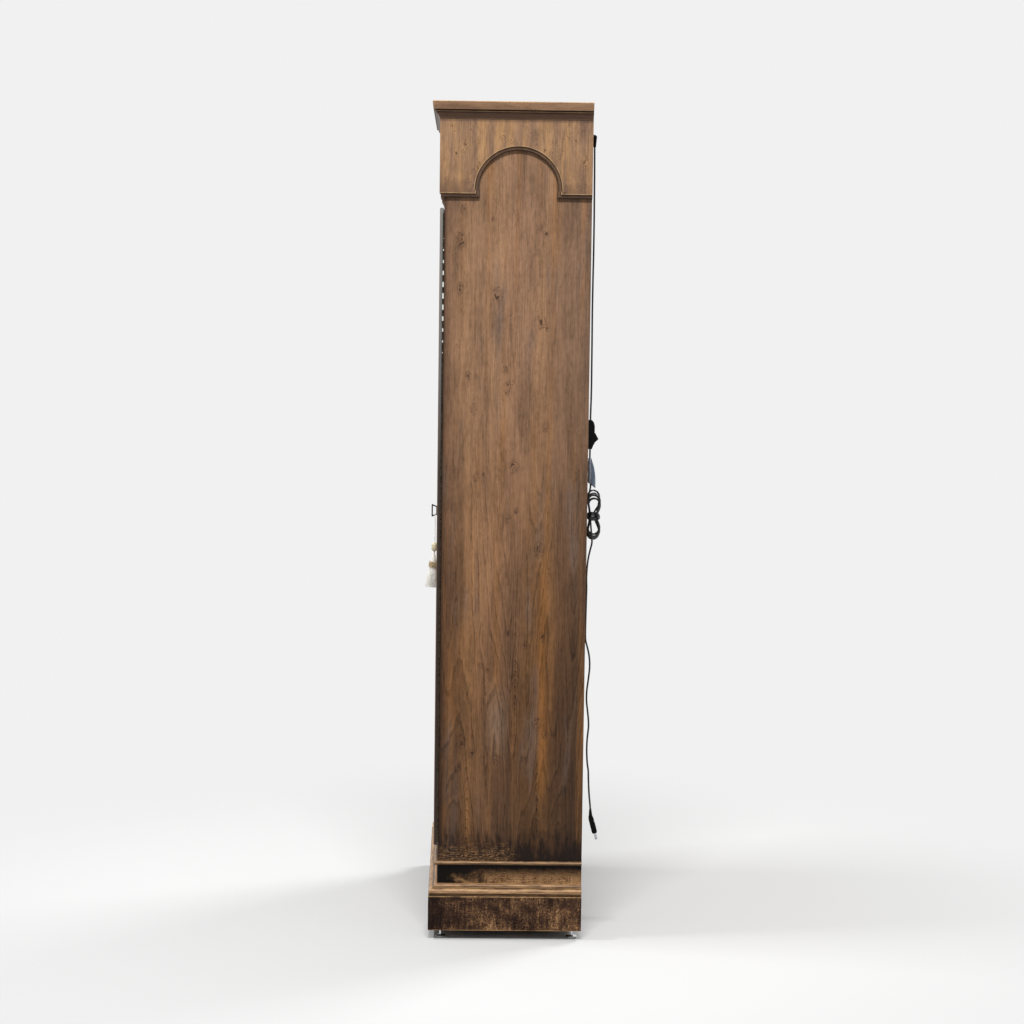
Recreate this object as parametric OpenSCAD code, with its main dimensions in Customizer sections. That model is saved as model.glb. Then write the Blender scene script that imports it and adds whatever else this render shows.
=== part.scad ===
// Tall display cabinet with arched frieze boards, two lipped glazed doors, glass shelves and a lamp.
// The origin is on the floor at the middle of the footprint. The front faces -Y and +Z is up.

/* [Overall] */
// Height from the floor to the top of the crown
overall_h = 2083; // [1950:1:2250]
// Width of the carcase across its two side panels
carcase_w = 738; // [680:2:840]
// Depth of the carcase from its front edge to its back edge
carcase_d = 362.5; // [330:1:420]
// Thickness of the carcase panels and of the boards in the base
panel_t = 19; // [17:0.5:22]
// Width of the eased front arris of a side panel
arris = 1.5; // [0.5:0.1:2.5]

/* [Crown] */
// Height of the cap board
cap_h = 21; // [17:1:28]
// How far the cap stands out beyond the frieze
cap_out = 19; // [15:0.5:26]
// How much the cap's edge leans in towards its underside
cap_lean = 2.4; // [1:0.1:4]
// Height of the cove moulding under the cap
cove_h = 21; // [17:1:26]
// How far the cove moulding stands out beyond the frieze
cove_out = 10; // [8:0.5:14]
// Radius of the cove
cove_r = 16; // [14:0.5:17]
// Thickness of the cove's foot
cove_foot = 1; // [0.5:0.1:2]
// Height of the fillet above the cove
cove_fillet = 1.5; // [1:0.5:4]
// Height of the bead between the cove and the cap
crown_bead_h = 4.5; // [3:0.5:6]
// Depth and height of the quirks above and below the bead
quirk = 1; // [0.6:0.1:1.6]

/* [Frieze] */
// Height of the frieze boards, from their lower edge to the cap
frieze_h = 211; // [180:1:240]
// Thickness of the frieze boards
frieze_t = 12; // [9:0.5:16]
// Radius of the arch where its moulded edge meets the face
arch_r = 108; // [90:0.5:112]
// Half of the width between the straight legs of the arch
arch_leg = 104.5; // [85:0.1:105]
// Height of the arch's centre above the lower edge of the board
arch_rise = 17; // [8:0.1:40]
// Width of the moulded edge of the boards
edge_w = 9.5; // [6:0.5:12]
// Depth of the step at the face, as a share of the board's thickness
edge_step = 0.24; // [0.15:0.01:0.35]
// Height of the edge's ovolo, as a share of the board's thickness
edge_round = 0.42; // [0.25:0.01:0.5]

/* [Base] */
// Gap between the floor and the plinth
floor_gap = 23; // [16:0.5:30]
// Height of the plinth boards
plinth_h = 87; // [70:1:110]
// How far the plinth stands out beyond the carcase
plinth_out = 22.5; // [18:0.5:28]
// How far the base frame stands out beyond the carcase
base_out = 0.5; // [0.2:0.1:1.5]
// Height of the base frame, from the underside of the plinth to the carcase
base_h = 173; // [155:1:200]
// Height of the lower moulding
moulding_h = 29; // [29:1:36]
// How far the lower moulding stands out beyond the carcase
moulding_out = 21; // [18:0.5:22]
// Radius of the lower moulding's ovolo
ovolo_r = 9; // [7:0.5:10]
// Height of the upper bead
bead_h = 10; // [8:0.5:12]
// How far the upper bead stands out beyond the carcase
bead_out = 8; // [7:0.5:10]
// Side of a corner block
block_w = 40; // [30:1:60]
// Height of a corner block
block_h = 80; // [50:1:120]

/* [Levelling feet] */
// Radius of a foot's disc
foot_r = 13.5; // [11:0.5:16]
// Height of a foot's disc
foot_disc_h = 6; // [5:0.5:8]
// Radius of a foot's threaded stem
stem_r = 2.9; // [2.5:0.1:4]
// Length of stem inside the socket at rest
stem_in = 20; // [16:1:26]
// Outer radius of a threaded socket
socket_r = 4.6; // [4.2:0.1:6]
// Length of a threaded socket
socket_l = 24; // [20:1:32]
// Distance from the back of the cabinet to the back feet
foot_back = 23; // [18:1:60]
// Radial clearance of a stem, shaft or pin in its bore
run_gap = 0.05; // [0.03:0.01:0.1]
// Width of a hairline joint between two boards of one group
hairline = 0.1; // [0.05:0.05:0.2]

/* [Doors] */
// Height of the door's lower edge above the carcase bottom
door_rise = 40; // [34:1:60]
// Gap between the door's upper edge and the frieze boards
door_drop = 26; // [20:1:40]
// Thickness of the door
door_t = 19; // [17:0.5:22]
// Thickness of the lip that overlaps the carcase
lip_t = 8.7; // [7:0.1:10]
// How far the lip overlaps the carcase above and below
lip_w = 10; // [8:0.5:14]
// Gap between the two doors
meeting_gap = 2.5; // [1.5:0.1:4]
// Gap between the door's outer edge and the side of the carcase
edge_gap = 1; // [0.5:0.1:2]
// Gap between the rabbeted part of a door and the opening
fit_gap = 1.2; // [1:0.1:2.5]
// Width of the hinge stiles
hinge_stile_w = 58; // [50:1:80]
// Width of the meeting stiles
meeting_stile_w = 50; // [48:1:70]
// Height of the upper door rails
top_rail_w = 62; // [50:1:90]
// Height of the lower door rails
bottom_rail_w = 90; // [60:1:120]
// Radius of the rounded inner edge of the door frames
sticking_r = 5; // [3:0.5:6]
// Radius of the rounded outer edge of the doors
nose_r = 4; // [2:0.5:6]
// Thickness of the door glass
glass_t = 4; // [3:0.5:5]
// Depth of the glass rabbet behind the front of the door
glass_set = 8; // [7:0.5:9]
// Width of the glass rabbet
glass_rabbet = 8; // [6:0.5:10]
// Clearance round a piece that is set into another, such as the glass in its frame
seat_gap = 0.3; // [0.2:0.1:1]

/* [Piano hinges] */
// Thickness of a hinge leaf
leaf_t = 0.8; // [0.6:0.1:0.9]
// Space between the lip and the carcase that the two leaves lie in
hinge_space = 1.8; // [1.8:0.1:2.4]
// Outer radius of the hinge barrel
barrel_r = 2.2; // [1.8:0.1:2.8]
// Radius of the hinge pin
pin_r = 1; // [0.7:0.1:1.2]
// Length of one knuckle
knuckle_l = 28; // [20:1:60]
// Gap between neighbouring knuckles
knuckle_gap = 0.3; // [0.2:0.1:1]
// Distance from the ends of the door to the ends of the hinge
hinge_end = 8; // [4:1:30]
// Width of a hinge leaf
leaf_w = 16; // [12:0.5:18]

/* [Lock and key] */
// Height of the key above the floor
key_z = 1048; // [900:1:1200]
// Distance from the edge of the meeting stile to the key
backset = 23; // [19:0.5:24]
// Distance from the edge of the meeting stile to the lock case
lock_in = 7; // [5:0.5:8]
// Width of the lock case
lock_w = 32; // [29:1:33]
// Height of the lock case
lock_h = 50; // [46:1:60]
// Height of the key above the lower edge of the lock case
key_in_lock = 33; // [30:1:36]
// Depth of the lock case
lock_d = 11; // [10:0.5:12]
// Thickness of the lock bolt
bolt_t = 5; // [4:0.5:6]
// Height of the lock bolt
bolt_h = 10; // [8:0.5:12]
// Travel of the lock bolt
bolt_throw = 9; // [7:0.5:10]
// Radius of the key's shank
shank_r = 2.6; // [2:0.1:3]
// Radius of the wire of the key's bow
bow_wire_r = 1.7; // [1.4:0.1:2]
// Height of the key's bow at its tip
bow_h = 33; // [28:0.5:36]
// Height of the key's bow beside its shank
bow_near_h = 23; // [18:0.5:26]
// Length of the key's bow
bow_l = 15.5; // [14:0.5:20]
// Distance from the face of the door to the back of the bow
bow_off = 2; // [1.8:0.1:4]
// Radius of the escutcheon's round ends
escutcheon_r = 9; // [7:0.5:11]
// Thickness of the escutcheon
escutcheon_t = 1.2; // [0.8:0.1:2]

/* [Tassel] */
// Length of the tassel's loop, from the key to the knot
loop_l = 74; // [50:1:120]
// Radius of the tassel's skirt at its lower edge
skirt_r = 16; // [13:0.5:20]
// Height of the skirt
skirt_h = 53; // [40:1:60]
// Radius of the ring of ruche above the skirt
ruche_r = 11.5; // [9:0.5:13]
// Height of the ring of ruche
ruche_h = 17; // [12:1:20]
// Radius of the knot at the top of the tassel
knot_r = 8; // [5:0.5:8]
// Height of the knot
knot_h = 22; // [14:1:26]
// Height of the tassel without its loop
tassel_h = 118; // [100:1:130]
// Radius of the loop's cord
loop_r = 1.2; // [0.8:0.1:1.6]
// Lean of the tassel off the door, in degrees
tassel_lean = 4.2; // [3:0.1:6]

/* [Inside] */
// Height of the display ceiling above the top of the doors
ceiling_rise = 15; // [8:1:30]
// Thickness of the display ceiling
ceiling_t = 16; // [12:1:19]
// Thickness of the bottom board
deck_t = 18; // [15:1:22]
// Thickness of the back panel
back_t = 6; // [4:0.5:9]
// How far the back panel is set in from the back edges
back_inset = 2; // [1:0.5:5]
// Width of the rabbet that the back panel lies in
back_rabbet = 9; // [7:0.5:12]
// Number of glass shelves
shelf_count = 4; // [2:1:6]
// Thickness of a glass shelf
shelf_t = 6; // [5:0.5:10]
// Gap between a glass shelf and the side panels
shelf_gap = 2; // [1:0.5:4]
// Distance from the front of the carcase to the shelves
shelf_front = 30; // [24:1:60]
// Radius of a shelf pin
shelf_pin_r = 2.5; // [2:0.1:4]
// Length of a shelf pin outside the panel
shelf_pin_l = 12; // [8:1:16]
// Depth of a shelf pin's hole
shelf_pin_in = 9; // [7:0.5:12]
// Distance of the shelf pins from the shelf's front and back edges
shelf_pin_edge = 40; // [25:1:80]

/* [Lamp] */
// Radius of the lamp housing
lamp_r = 38; // [30:1:50]
// Height of the lamp housing
lamp_h = 86; // [76:1:110]
// Wall of the lamp housing
lamp_wall = 2; // [1:0.5:3]
// Width of the trim flange under the ceiling
flange_w = 9; // [6:1:14]
// Thickness of the trim flange
flange_t = 2; // [1.5:0.5:3]
// Thickness of the lamp's lens
lens_t = 3; // [2:0.5:4]
// Radius of the bulb
bulb_r = 24; // [16:1:25]

/* [Cord] */
// Diameter of the power cord
cord_d = 4.5; // [3.5:0.1:4.6]
// Outer radius of the gland's flange
gland_r = 10; // [9:0.5:13]
// Outer radius of the gland's neck and nozzle
neck_r = 5.5; // [4.5:0.1:6.5]
// Width of the switch case
case_w = 28; // [24:1:34]
// Wall of the switch case beside the rocker
case_wall = 3; // [2:0.5:4]

/* [Hidden] */
eps = 0.01;
cut = 1;
$fn = 48;

// Places that follow from the sizes above
half_w = carcase_w / 2;
inner_w = half_w - panel_t;
door_out = lip_t + hinge_space;
hang_in = 1.75;
tassel_reach = bow_off + bow_l / 2 - hang_in + tassel_h * sin(tassel_lean) + skirt_r * cos(tassel_lean);
y_back = (carcase_d + door_out + tassel_reach) / 2;
y_front = y_back - carcase_d;
y_door = y_front - door_out;
cap_z = overall_h - cap_h;
frieze_z = cap_z - frieze_h;
carcase_z = floor_gap + base_h;
door_z0 = carcase_z + door_rise;
door_z1 = frieze_z - door_drop;
open_z0 = door_z0 + lip_w;
open_z1 = door_z1 - lip_w;
ceiling_z = door_z1 + ceiling_rise;
deck_z = open_z0 - deck_t;
frieze_half = half_w + frieze_t;
y_frieze = y_front - frieze_t;
back_y0 = y_back - back_inset - back_t;
plinth_top = floor_gap + plinth_h;
bead_z = carcase_z - bead_h;
far = 2 * (overall_h + carcase_w);

// Doors
door_w = half_w - edge_gap - meeting_gap / 2;
door_mid = meeting_gap / 2 + door_w / 2;
door_x0 = meeting_gap / 2;
door_x1 = half_w - edge_gap;
rabbet_x = inner_w - fit_gap;
door_back = y_door + door_t;
lip_back = y_door + lip_t;
glass_x0 = door_x0 + meeting_stile_w;
glass_x1 = door_x1 - hinge_stile_w;
glass_z0 = door_z0 + bottom_rail_w;
glass_z1 = door_z1 - top_rail_w;
glass_y = y_door + glass_set + seat_gap;
bead_y = glass_y + glass_t + seat_gap;

// Hinges: the axis lies outside the corner of the carcase, level with the joint between the leaves
hinge_x = half_w + barrel_r + 0.1;
hinge_y = y_front - hinge_space / 2;
hinge_z0 = door_z0 + hinge_end;
knuckles = floor((door_z1 - door_z0 - 2 * hinge_end) / knuckle_l);
hinge_l = knuckles * knuckle_l;
leaf_x0 = half_w - 1 - leaf_w;

// Lock
key_x = door_x0 + backset;
lock_x0 = door_x0 + lock_in;
lock_z0 = key_z - key_in_lock;
lock_y = door_back - lock_d;
bolt_z = key_z - 20 - bolt_h / 2;
bolt_y = lock_y + lock_d / 2 - bolt_t / 2;
bolt_l = 28;
bolt_x0 = door_x0 + 0.8;
bit_r = 8;
bit_t = 3;
bit_h = 2.4;
bit_room = 0.8;
hole_gap = 0.4;
bow_y = y_door - bow_off - bow_l / 2;
bow_tip_y = bow_y - bow_l / 2 + bow_wire_r;
bow_near_y = bow_y + bow_l / 2 - bow_wire_r;
bow_tip_z = bow_h / 2 - bow_wire_r;
bow_near_z = bow_near_h / 2 - bow_wire_r;

// Tassel: hangs from the lower wire of the bow, beside the shank
tassel_y = bow_y + hang_in;
bow_fall = (bow_tip_z - bow_near_z) / (bow_near_y - bow_tip_y);
bow_low_z = key_z - bow_near_z - bow_fall * (bow_near_y - tassel_y);
loop_bend = bow_wire_r + loop_r + 0.3;
knot_z = bow_low_z - loop_l;

// Shelves
shelf_w = 2 * (inner_w - shelf_gap);
shelf_y0 = y_front + shelf_front;
shelf_y1 = back_y0 - shelf_gap;
shelf_pitch = (ceiling_z - open_z0) / (shelf_count + 1);
function shelf_z(i) = open_z0 + shelf_pitch * i;

// Lamp
lamp_y = (y_front + back_y0) / 2;
lamp_z = ceiling_z + lamp_h;

// Feet: each is at the middle of a side board of the base, where its socket is
foot_x = half_w + base_out - panel_t / 2;
foot_y0 = y_front - base_out + panel_t / 2;
foot_y1 = y_back - foot_back;

// Cord: routes are chosen by hand, as [x, y, z], and shift with the back edge that the cord hangs at.
// They are drawn on a cabinet with this half width, back edge and height.
drawn_at = [369, 202.8, 2083];
cord_shift = [half_w, y_back, overall_h] - drawn_at;
cord_r = cord_d / 2;
cord_x = 318;
gland_z = 2005;
nozzle_y = 209.5;
nozzle_z = 1980;
upper_route = [
    [318, 209.5, 1980], [318, 209.6, 1970], [318, 209.8, 1950], [318.5, 210.2, 1920], [319, 210.4, 1885],
    [319.5, 210.7, 1845], [320, 211, 1800], [320, 211, 1755], [319.5, 211, 1710], [319, 210.6, 1665],
    [318.5, 210.4, 1620], [318, 210.3, 1575], [317.5, 210.6, 1530], [317, 210.9, 1485], [317, 211, 1440],
    [317, 211.2, 1400], [317.5, 211, 1365], [318, 210.4, 1335], [318, 210, 1315], [318, 210, 1306]
];
middle_route = [[318, 210, 1234], [318, 210, 1229], [318, 210, 1222], [318, 210, 1216], [318, 210, 1211]];
tail_route = [
    [340, 217.4, 1001], [340, 216.6, 995], [339.4, 213.6, 983], [338, 209.2, 962], [336.5, 206.8, 940],
    [335, 205.6, 912], [333.5, 206.4, 886], [332, 206, 850], [330, 205.6, 808], [328.5, 205.4, 772],
    [328, 206.4, 752], [328, 210.8, 735], [328, 216, 711], [328, 217.4, 684], [327.5, 214.6, 653],
    [327, 211.4, 625], [326.5, 211, 600], [326, 213.6, 576], [326, 216.4, 552], [326, 217, 530],
    [326, 214.4, 502], [326, 213.6, 472], [326, 215.4, 440], [326, 218.2, 420], [326, 219, 400],
    [326, 220.2, 376], [326, 221.8, 355], [326, 223.4, 340], [326, 224.4, 330], [326, 224.95, 322]
];
lead_route = [
    [38.2, 17, 1890], [46, 17, 1890], [58, 17.5, 1888], [70, 19, 1882], [84, 22, 1873], [100, 27, 1865],
    [120, 34, 1860], [150, 46, 1859], [190, 63, 1859], [230, 81, 1859], [265, 98, 1860], [290, 115, 1866],
    [306, 130, 1880], [314, 143, 1902], [317, 152, 1928], [318, 158, 1955], [318, 163, 1978],
    [318, 171, 1996], [318, 181, 2004.5], [318, 188, 2005], [318, 191, 2005]
];
case_z0 = 1234;
case_z1 = 1306;
sleeve_z0 = 1137;
sleeve_z1 = 1211;
hank_x = 311;
hank_step = 5.5;
hank_loops = 5;
hank_y = 220.5;
hank_z = 1066;
hank_half_h = 61;
hank_half_w = 14.75;
hank_waist = 0.75;
hank_start = 40;
plug_at = [326, 226, 302];
plug_neck = 20;
plug_neck_tilt = 3;
plug_l = 42;
prong_in = 3;
prong_blade = [1.5, 6.3, 17];
plug_w = 22;
plug_tilt = 15;
lead_pieces = len(lead_route) - 1;
lead_start = [0, lamp_y - 17, ceiling_z - 1840] + [lamp_r - 38, 0, 0];
lead_path = [
    for (i = [0:lead_pieces])
        lead_route[i] + (1 - i / lead_pieces) * lead_start + i / lead_pieces * cord_shift
];

// Geometry helpers
function unit(v) = v / norm(v);

module swept_tube(path, radius, sides, side_way = [1, 0, 0]) {
    rings = len(path);
    points = [
        for (i = [0:rings - 1])
            let (along = unit(path[min(i + 1, rings - 1)] - path[max(i - 1, 0)]),
                 across = unit(cross(along, side_way)),
                 up = cross(along, across))
            for (k = [0:sides - 1])
                path[i] + radius * (cos(360 * k / sides) * across + sin(360 * k / sides) * up)
    ];
    walls = [
        for (i = [0:rings - 2])
            for (k = [0:sides - 1])
                let (a = i * sides + k,
                     b = i * sides + (k + 1) % sides)
                each [[a, a + sides, b + sides], [a, b + sides, b]]
    ];
    start = [for (k = [0:sides - 1]) k];
    end = [for (k = [sides - 1:-1:0]) (rings - 1) * sides + k];
    polyhedron(points = points, faces = concat([start], walls, [end]));
}

module mirrored(side) {
    if (side > 0) children();
    else mirror([1, 0, 0]) children();
}

module block(x0, x1, y0, y1, z0, z1) {
    translate([x0, y0, z0]) cube([x1 - x0, y1 - y0, z1 - z0]);
}

// A run of moulding or board round the front and sides. Its children draw the section as
// [distance out from the face, height], and the face is half_x wide and stands at face_y.
module front_run(half_x, face_y, reach) {
    intersection() {
        translate([-half_x - reach, face_y, 0])
            rotate([90, 0, 90])
                mirror([1, 0, 0]) linear_extrude(height = 2 * (half_x + reach)) children();
        linear_extrude(height = far)
            polygon([[-half_x, face_y], [-half_x - reach, face_y - reach],
                     [half_x + reach, face_y - reach], [half_x, face_y]]);
    }
}

module right_run(half_x, face_y, reach) {
    intersection() {
        translate([half_x, y_back, 0])
            rotate([90, 0, 0]) linear_extrude(height = y_back - face_y + reach) children();
        linear_extrude(height = far)
            polygon([[half_x, face_y + hairline], [half_x + reach, face_y - reach + hairline],
                     [half_x + reach, y_back], [half_x, y_back]]);
    }
}

module three_runs(half_x, face_y, reach) {
    front_run(half_x, face_y, reach) children();
    right_run(half_x, face_y, reach) children();
    mirror([1, 0, 0]) right_run(half_x, face_y, reach) children();
}

// Carcase
module side_panel(side) {
    mirrored(side)
        difference() {
            translate([0, 0, carcase_z])
                linear_extrude(height = cap_z - carcase_z)
                    polygon([[inner_w, y_front], [half_w - arris, y_front], [half_w, y_front + arris],
                             [half_w, y_back], [inner_w, y_back]]);
            block(inner_w - cut, inner_w + back_rabbet, back_y0, y_back + cut,
                  carcase_z - cut, cap_z + cut);
            for (i = [1:shelf_count])
                for (y = [shelf_y0 + shelf_pin_edge, shelf_y1 - shelf_pin_edge])
                    translate([inner_w - cut, y, shelf_z(i) - shelf_pin_r])
                        rotate([0, 90, 0]) cylinder(r = shelf_pin_r + run_gap, h = shelf_pin_in + cut);
        }
}

module side_panel_right() {
    color("#7a5638") side_panel(1);
}

module side_panel_left() {
    color("#7a5638") side_panel(-1);
}

module display_ceiling() {
    color("#6d4c33")
        difference() {
            block(-inner_w, inner_w, y_front + panel_t, back_y0, ceiling_z, ceiling_z + ceiling_t);
            translate([0, lamp_y, ceiling_z - cut])
                cylinder(r = lamp_r + seat_gap, h = ceiling_t + 2 * cut);
        }
}

module bottom_board() {
    color("#6d4c33") block(-inner_w, inner_w, y_front + panel_t, back_y0, deck_z, open_z0);
}

module back_panel() {
    color("#8a6a4a")
        difference() {
            block(-inner_w - back_rabbet + seat_gap, inner_w + back_rabbet - seat_gap,
                  back_y0, back_y0 + back_t, carcase_z, cap_z);
            translate([cord_x + cord_shift[0], back_y0 - cut, gland_z + cord_shift[2]])
                rotate([-90, 0, 0]) cylinder(r = neck_r + seat_gap, h = back_t + 2 * cut);
        }
}

module top_rail() {
    color("#6f4e35") block(-inner_w, inner_w, y_front, y_front + panel_t, open_z1, cap_z);
}

module bottom_rail() {
    color("#6f4e35") block(-inner_w, inner_w, y_front, y_front + panel_t, carcase_z, open_z0);
}

// Crown
module crown_cap() {
    front = frieze_half + cap_out;
    edge = [[0, cap_z], [-cap_lean - 1, cap_z], [-cap_lean, cap_z + 1], [-0.4, overall_h - 1.6],
            [-1.6, overall_h]];
    color("#7d593b")
        intersection() {
            translate([-front - cut, 0, 0])
                rotate([90, 0, 90])
                    linear_extrude(height = 2 * (front + cut))
                        polygon(concat([[y_back, overall_h], [y_back, cap_z]],
                                       [for (p = edge) if (p[0] < 0) [y_frieze - cap_out - p[0], p[1]]]));
            translate([0, y_back + cut, 0])
                rotate([90, 0, 0])
                    linear_extrude(height = far)
                        polygon(concat([for (p = edge) if (p[0] < 0) [front + p[0], p[1]]],
                                       [for (i = [4:-1:1]) [-front - edge[i][0], edge[i][1]]]));
        }
}

module cove_section() {
    base = cap_z - cove_h;
    top = cap_z - crown_bead_h - 2 * quirk;
    sweep_h = sqrt(pow(cove_r, 2) - pow(cove_r + cove_foot - cove_out, 2));
    centre_z = top - cove_fillet - sweep_h;
    difference() {
        translate([0, base]) square([cove_out, top - base]);
        translate([cove_r + cove_foot, centre_z]) circle(r = cove_r);
        translate([cove_foot, base - cut]) square([cove_out, centre_z - base + cut]);
    }
    translate([0, top]) square([cove_out - 2 * quirk, cap_z - top]);
    translate([0, top + quirk]) square([cove_out, crown_bead_h]);
    translate([cove_out, top + quirk + crown_bead_h / 2]) circle(r = crown_bead_h / 2, $fn = 32);
}

module cornice_moulding() {
    color("#6b4a31") three_runs(frieze_half, y_frieze, cove_out + crown_bead_h / 2) cove_section();
}

// Frieze boards. Each layer runs from the panel out: [thickness, set back from the edge], as shares.
// Those between the first and the last are the edge's ovolo.
round_start = 1 - edge_step - edge_round;
round_steps = 6;
round_in = 0.86;
frieze_layers = concat(
    [[round_start, 0]],
    [for (i = [1:round_steps])
        [round_start + edge_round * sin(90 * i / round_steps),
         round_in * (1 - cos(90 * (i - 0.5) / round_steps))]],
    [[1, 1]]
);

module arch_opening(set_back) {
    leg = arch_leg - edge_w + set_back;
    radius = arch_r - edge_w + set_back;
    intersection() {
        circle(r = radius, $fn = 96);
        translate([-leg, -far]) square([2 * leg, 2 * far]);
    }
    translate([-leg, -arch_rise - cut]) square([2 * leg, arch_rise + cut]);
}

module frieze_outline(u0, u1, arches, set_back) {
    difference() {
        polygon([[u0, frieze_z + set_back], [u1, frieze_z + set_back], [u1, cap_z], [u0, cap_z]]);
        for (u = arches)
            translate([u, frieze_z + arch_rise]) arch_opening(set_back);
    }
}

module frieze_side(side) {
    mirrored(side)
        intersection() {
            for (layer = frieze_layers)
                translate([half_w, 0, 0])
                    rotate([90, 0, 90])
                        linear_extrude(height = layer[0] * frieze_t)
                            frieze_outline(y_front - frieze_t, y_back, [(y_front + y_back) / 2],
                                           layer[1] * edge_w);
            linear_extrude(height = far)
                polygon([[half_w, y_front], [half_w + frieze_t, y_front - frieze_t],
                         [half_w + frieze_t, y_back], [half_w, y_back]]);
        }
}

module frieze_right() {
    color("#80603f") frieze_side(1);
}

module frieze_left() {
    color("#80603f") frieze_side(-1);
}

module frieze_front() {
    color("#80603f")
        intersection() {
            for (layer = frieze_layers)
                translate([0, y_front, 0])
                    rotate([90, 0, 0])
                        linear_extrude(height = layer[0] * frieze_t)
                            frieze_outline(-frieze_half, frieze_half, [-door_mid, door_mid],
                                           layer[1] * edge_w);
            linear_extrude(height = far)
                polygon([[-half_w, y_front], [-frieze_half, y_frieze],
                         [frieze_half, y_frieze], [half_w, y_front]]);
        }
}

// Base
module base_frame() {
    outer = half_w + base_out;
    inner = outer - panel_t;
    front = y_front - base_out;
    color("#5d4029")
        difference() {
            union() {
                translate([0, 0, floor_gap])
                    linear_extrude(height = base_h)
                        polygon([[-outer, front], [outer, front], [inner, front + panel_t],
                                 [-inner, front + panel_t]]);
                for (side = [-1, 1])
                    mirrored(side)
                        translate([0, 0, floor_gap])
                            linear_extrude(height = base_h)
                                polygon([[outer, front + hairline], [outer, y_back], [inner, y_back],
                                         [inner, front + panel_t + hairline]]);
                block(-inner + hairline, inner - hairline, foot_y1 - panel_t / 2,
                      foot_y1 + panel_t / 2, floor_gap, carcase_z);
            }
            for (x = [-foot_x, foot_x])
                for (y = [foot_y0, foot_y1])
                    translate([x, y, floor_gap - cut])
                        cylinder(r = socket_r + run_gap, h = socket_l + cut + run_gap);
        }
}

module bead_section() {
    nose = bead_h / 2;
    intersection() {
        translate([bead_out - nose, bead_z + nose]) circle(r = nose);
        translate([base_out, bead_z]) square([bead_out, bead_h]);
    }
    translate([base_out, bead_z]) square([bead_out - base_out - nose, bead_h]);
}

module moulding_section() {
    z = plinth_top;
    top = z + moulding_h;
    fillet = moulding_out - ovolo_r + 1;
    cove = 8.5;
    translate([base_out, z]) square([moulding_out - 7 - base_out, 8]);
    translate([base_out, z + 7.5]) square([moulding_out - base_out, 1.5]);
    intersection() {
        translate([moulding_out - ovolo_r, z + 9]) circle(r = ovolo_r);
        translate([base_out, z + 9]) square([moulding_out, ovolo_r]);
    }
    translate([base_out, z + 9]) square([moulding_out - ovolo_r - base_out - 0.5, ovolo_r + 1.5]);
    translate([base_out, z + 10.5 + ovolo_r]) square([fillet - base_out, 2]);
    difference() {
        translate([base_out, z + 12.5 + ovolo_r - eps])
            square([fillet - 0.5 - base_out, top - z - 12.5 - ovolo_r + eps]);
        translate([fillet - 0.5, z + 12.5 + ovolo_r + cove]) circle(r = cove);
        translate([3.5, top - 3]) square([fillet, 3 + cut]);
    }
}

module base_mouldings() {
    color("#6a4a2f") {
        three_runs(half_w, y_front, bead_out) bead_section();
        three_runs(half_w, y_front, moulding_out) moulding_section();
    }
}

module plinth_section() {
    translate([base_out, floor_gap]) square([plinth_out - base_out, plinth_h - 1.5]);
    translate([base_out, floor_gap]) square([plinth_out - base_out - 1.5, plinth_h]);
    translate([plinth_out - 1.5, plinth_top - 1.5]) circle(r = 1.5);
}

module plinth_boards() {
    color("#59402b") three_runs(half_w, y_front, plinth_out) plinth_section();
}

module corner_blocks() {
    inner = half_w + base_out - panel_t;
    front = y_front - base_out + panel_t;
    back = foot_y1 - panel_t / 2;
    color("#9a7c56")
        for (side = [-1, 1])
            mirrored(side)
                for (corner = [[front, 1], [back, -1]])
                    translate([inner, corner[0], floor_gap])
                        linear_extrude(height = block_h)
                            polygon([[0, 0], [-block_w, 0], [0, corner[1] * block_w]]);
}

module foot_sockets() {
    color("#b9b9bd")
        for (x = [-foot_x, foot_x])
            for (y = [foot_y0, foot_y1])
                translate([x, y, floor_gap])
                    difference() {
                        cylinder(r = socket_r, h = socket_l);
                        translate([0, 0, -cut]) cylinder(r = stem_r + run_gap, h = socket_l + 2 * cut);
                    }
}

module levelling_foot(x, y) {
    color("#d5d7da")
        translate([x, y, 0])
            rotate_extrude()
                polygon([[0, 0], [foot_r - 2.5, 0], [foot_r, 2], [foot_r, 3.4], [foot_r - 1.2, 3.6],
                         [foot_r * 0.45, foot_disc_h - 1.4], [stem_r + 1.4, foot_disc_h],
                         [stem_r, foot_disc_h], [stem_r, floor_gap + stem_in], [0, floor_gap + stem_in]]);
}

module foot_front_right() {
    levelling_foot(foot_x, foot_y0);
}

module foot_front_left() {
    levelling_foot(-foot_x, foot_y0);
}

module foot_back_right() {
    levelling_foot(foot_x, foot_y1);
}

module foot_back_left() {
    levelling_foot(-foot_x, foot_y1);
}

// Doors. A door is drawn as the right-hand one, and its lip overlaps the carcase on three sides.
module lip_cuts() {
    block(-cut, door_x1 + cut, lip_back, door_back + cut, open_z1 - fit_gap, door_z1 + cut);
    block(-cut, door_x1 + cut, lip_back, door_back + cut, door_z0 - cut, open_z0 + fit_gap);
    block(rabbet_x, door_x1 + cut, lip_back, door_back + cut, door_z0 - cut, door_z1 + cut);
}

module nose_shape() {
    translate([-cut, 0, 0])
        rotate([90, 0, 90])
            linear_extrude(height = door_x1 + 2 * cut)
                union() {
                    translate([y_door + nose_r, door_z0]) square([door_t - nose_r, door_z1 - door_z0]);
                    translate([y_door, door_z0 + nose_r]) square([door_t, door_z1 - door_z0 - 2 * nose_r]);
                    for (z = [door_z0 + nose_r, door_z1 - nose_r])
                        translate([y_door + nose_r, z]) circle(r = nose_r);
                }
}

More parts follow.
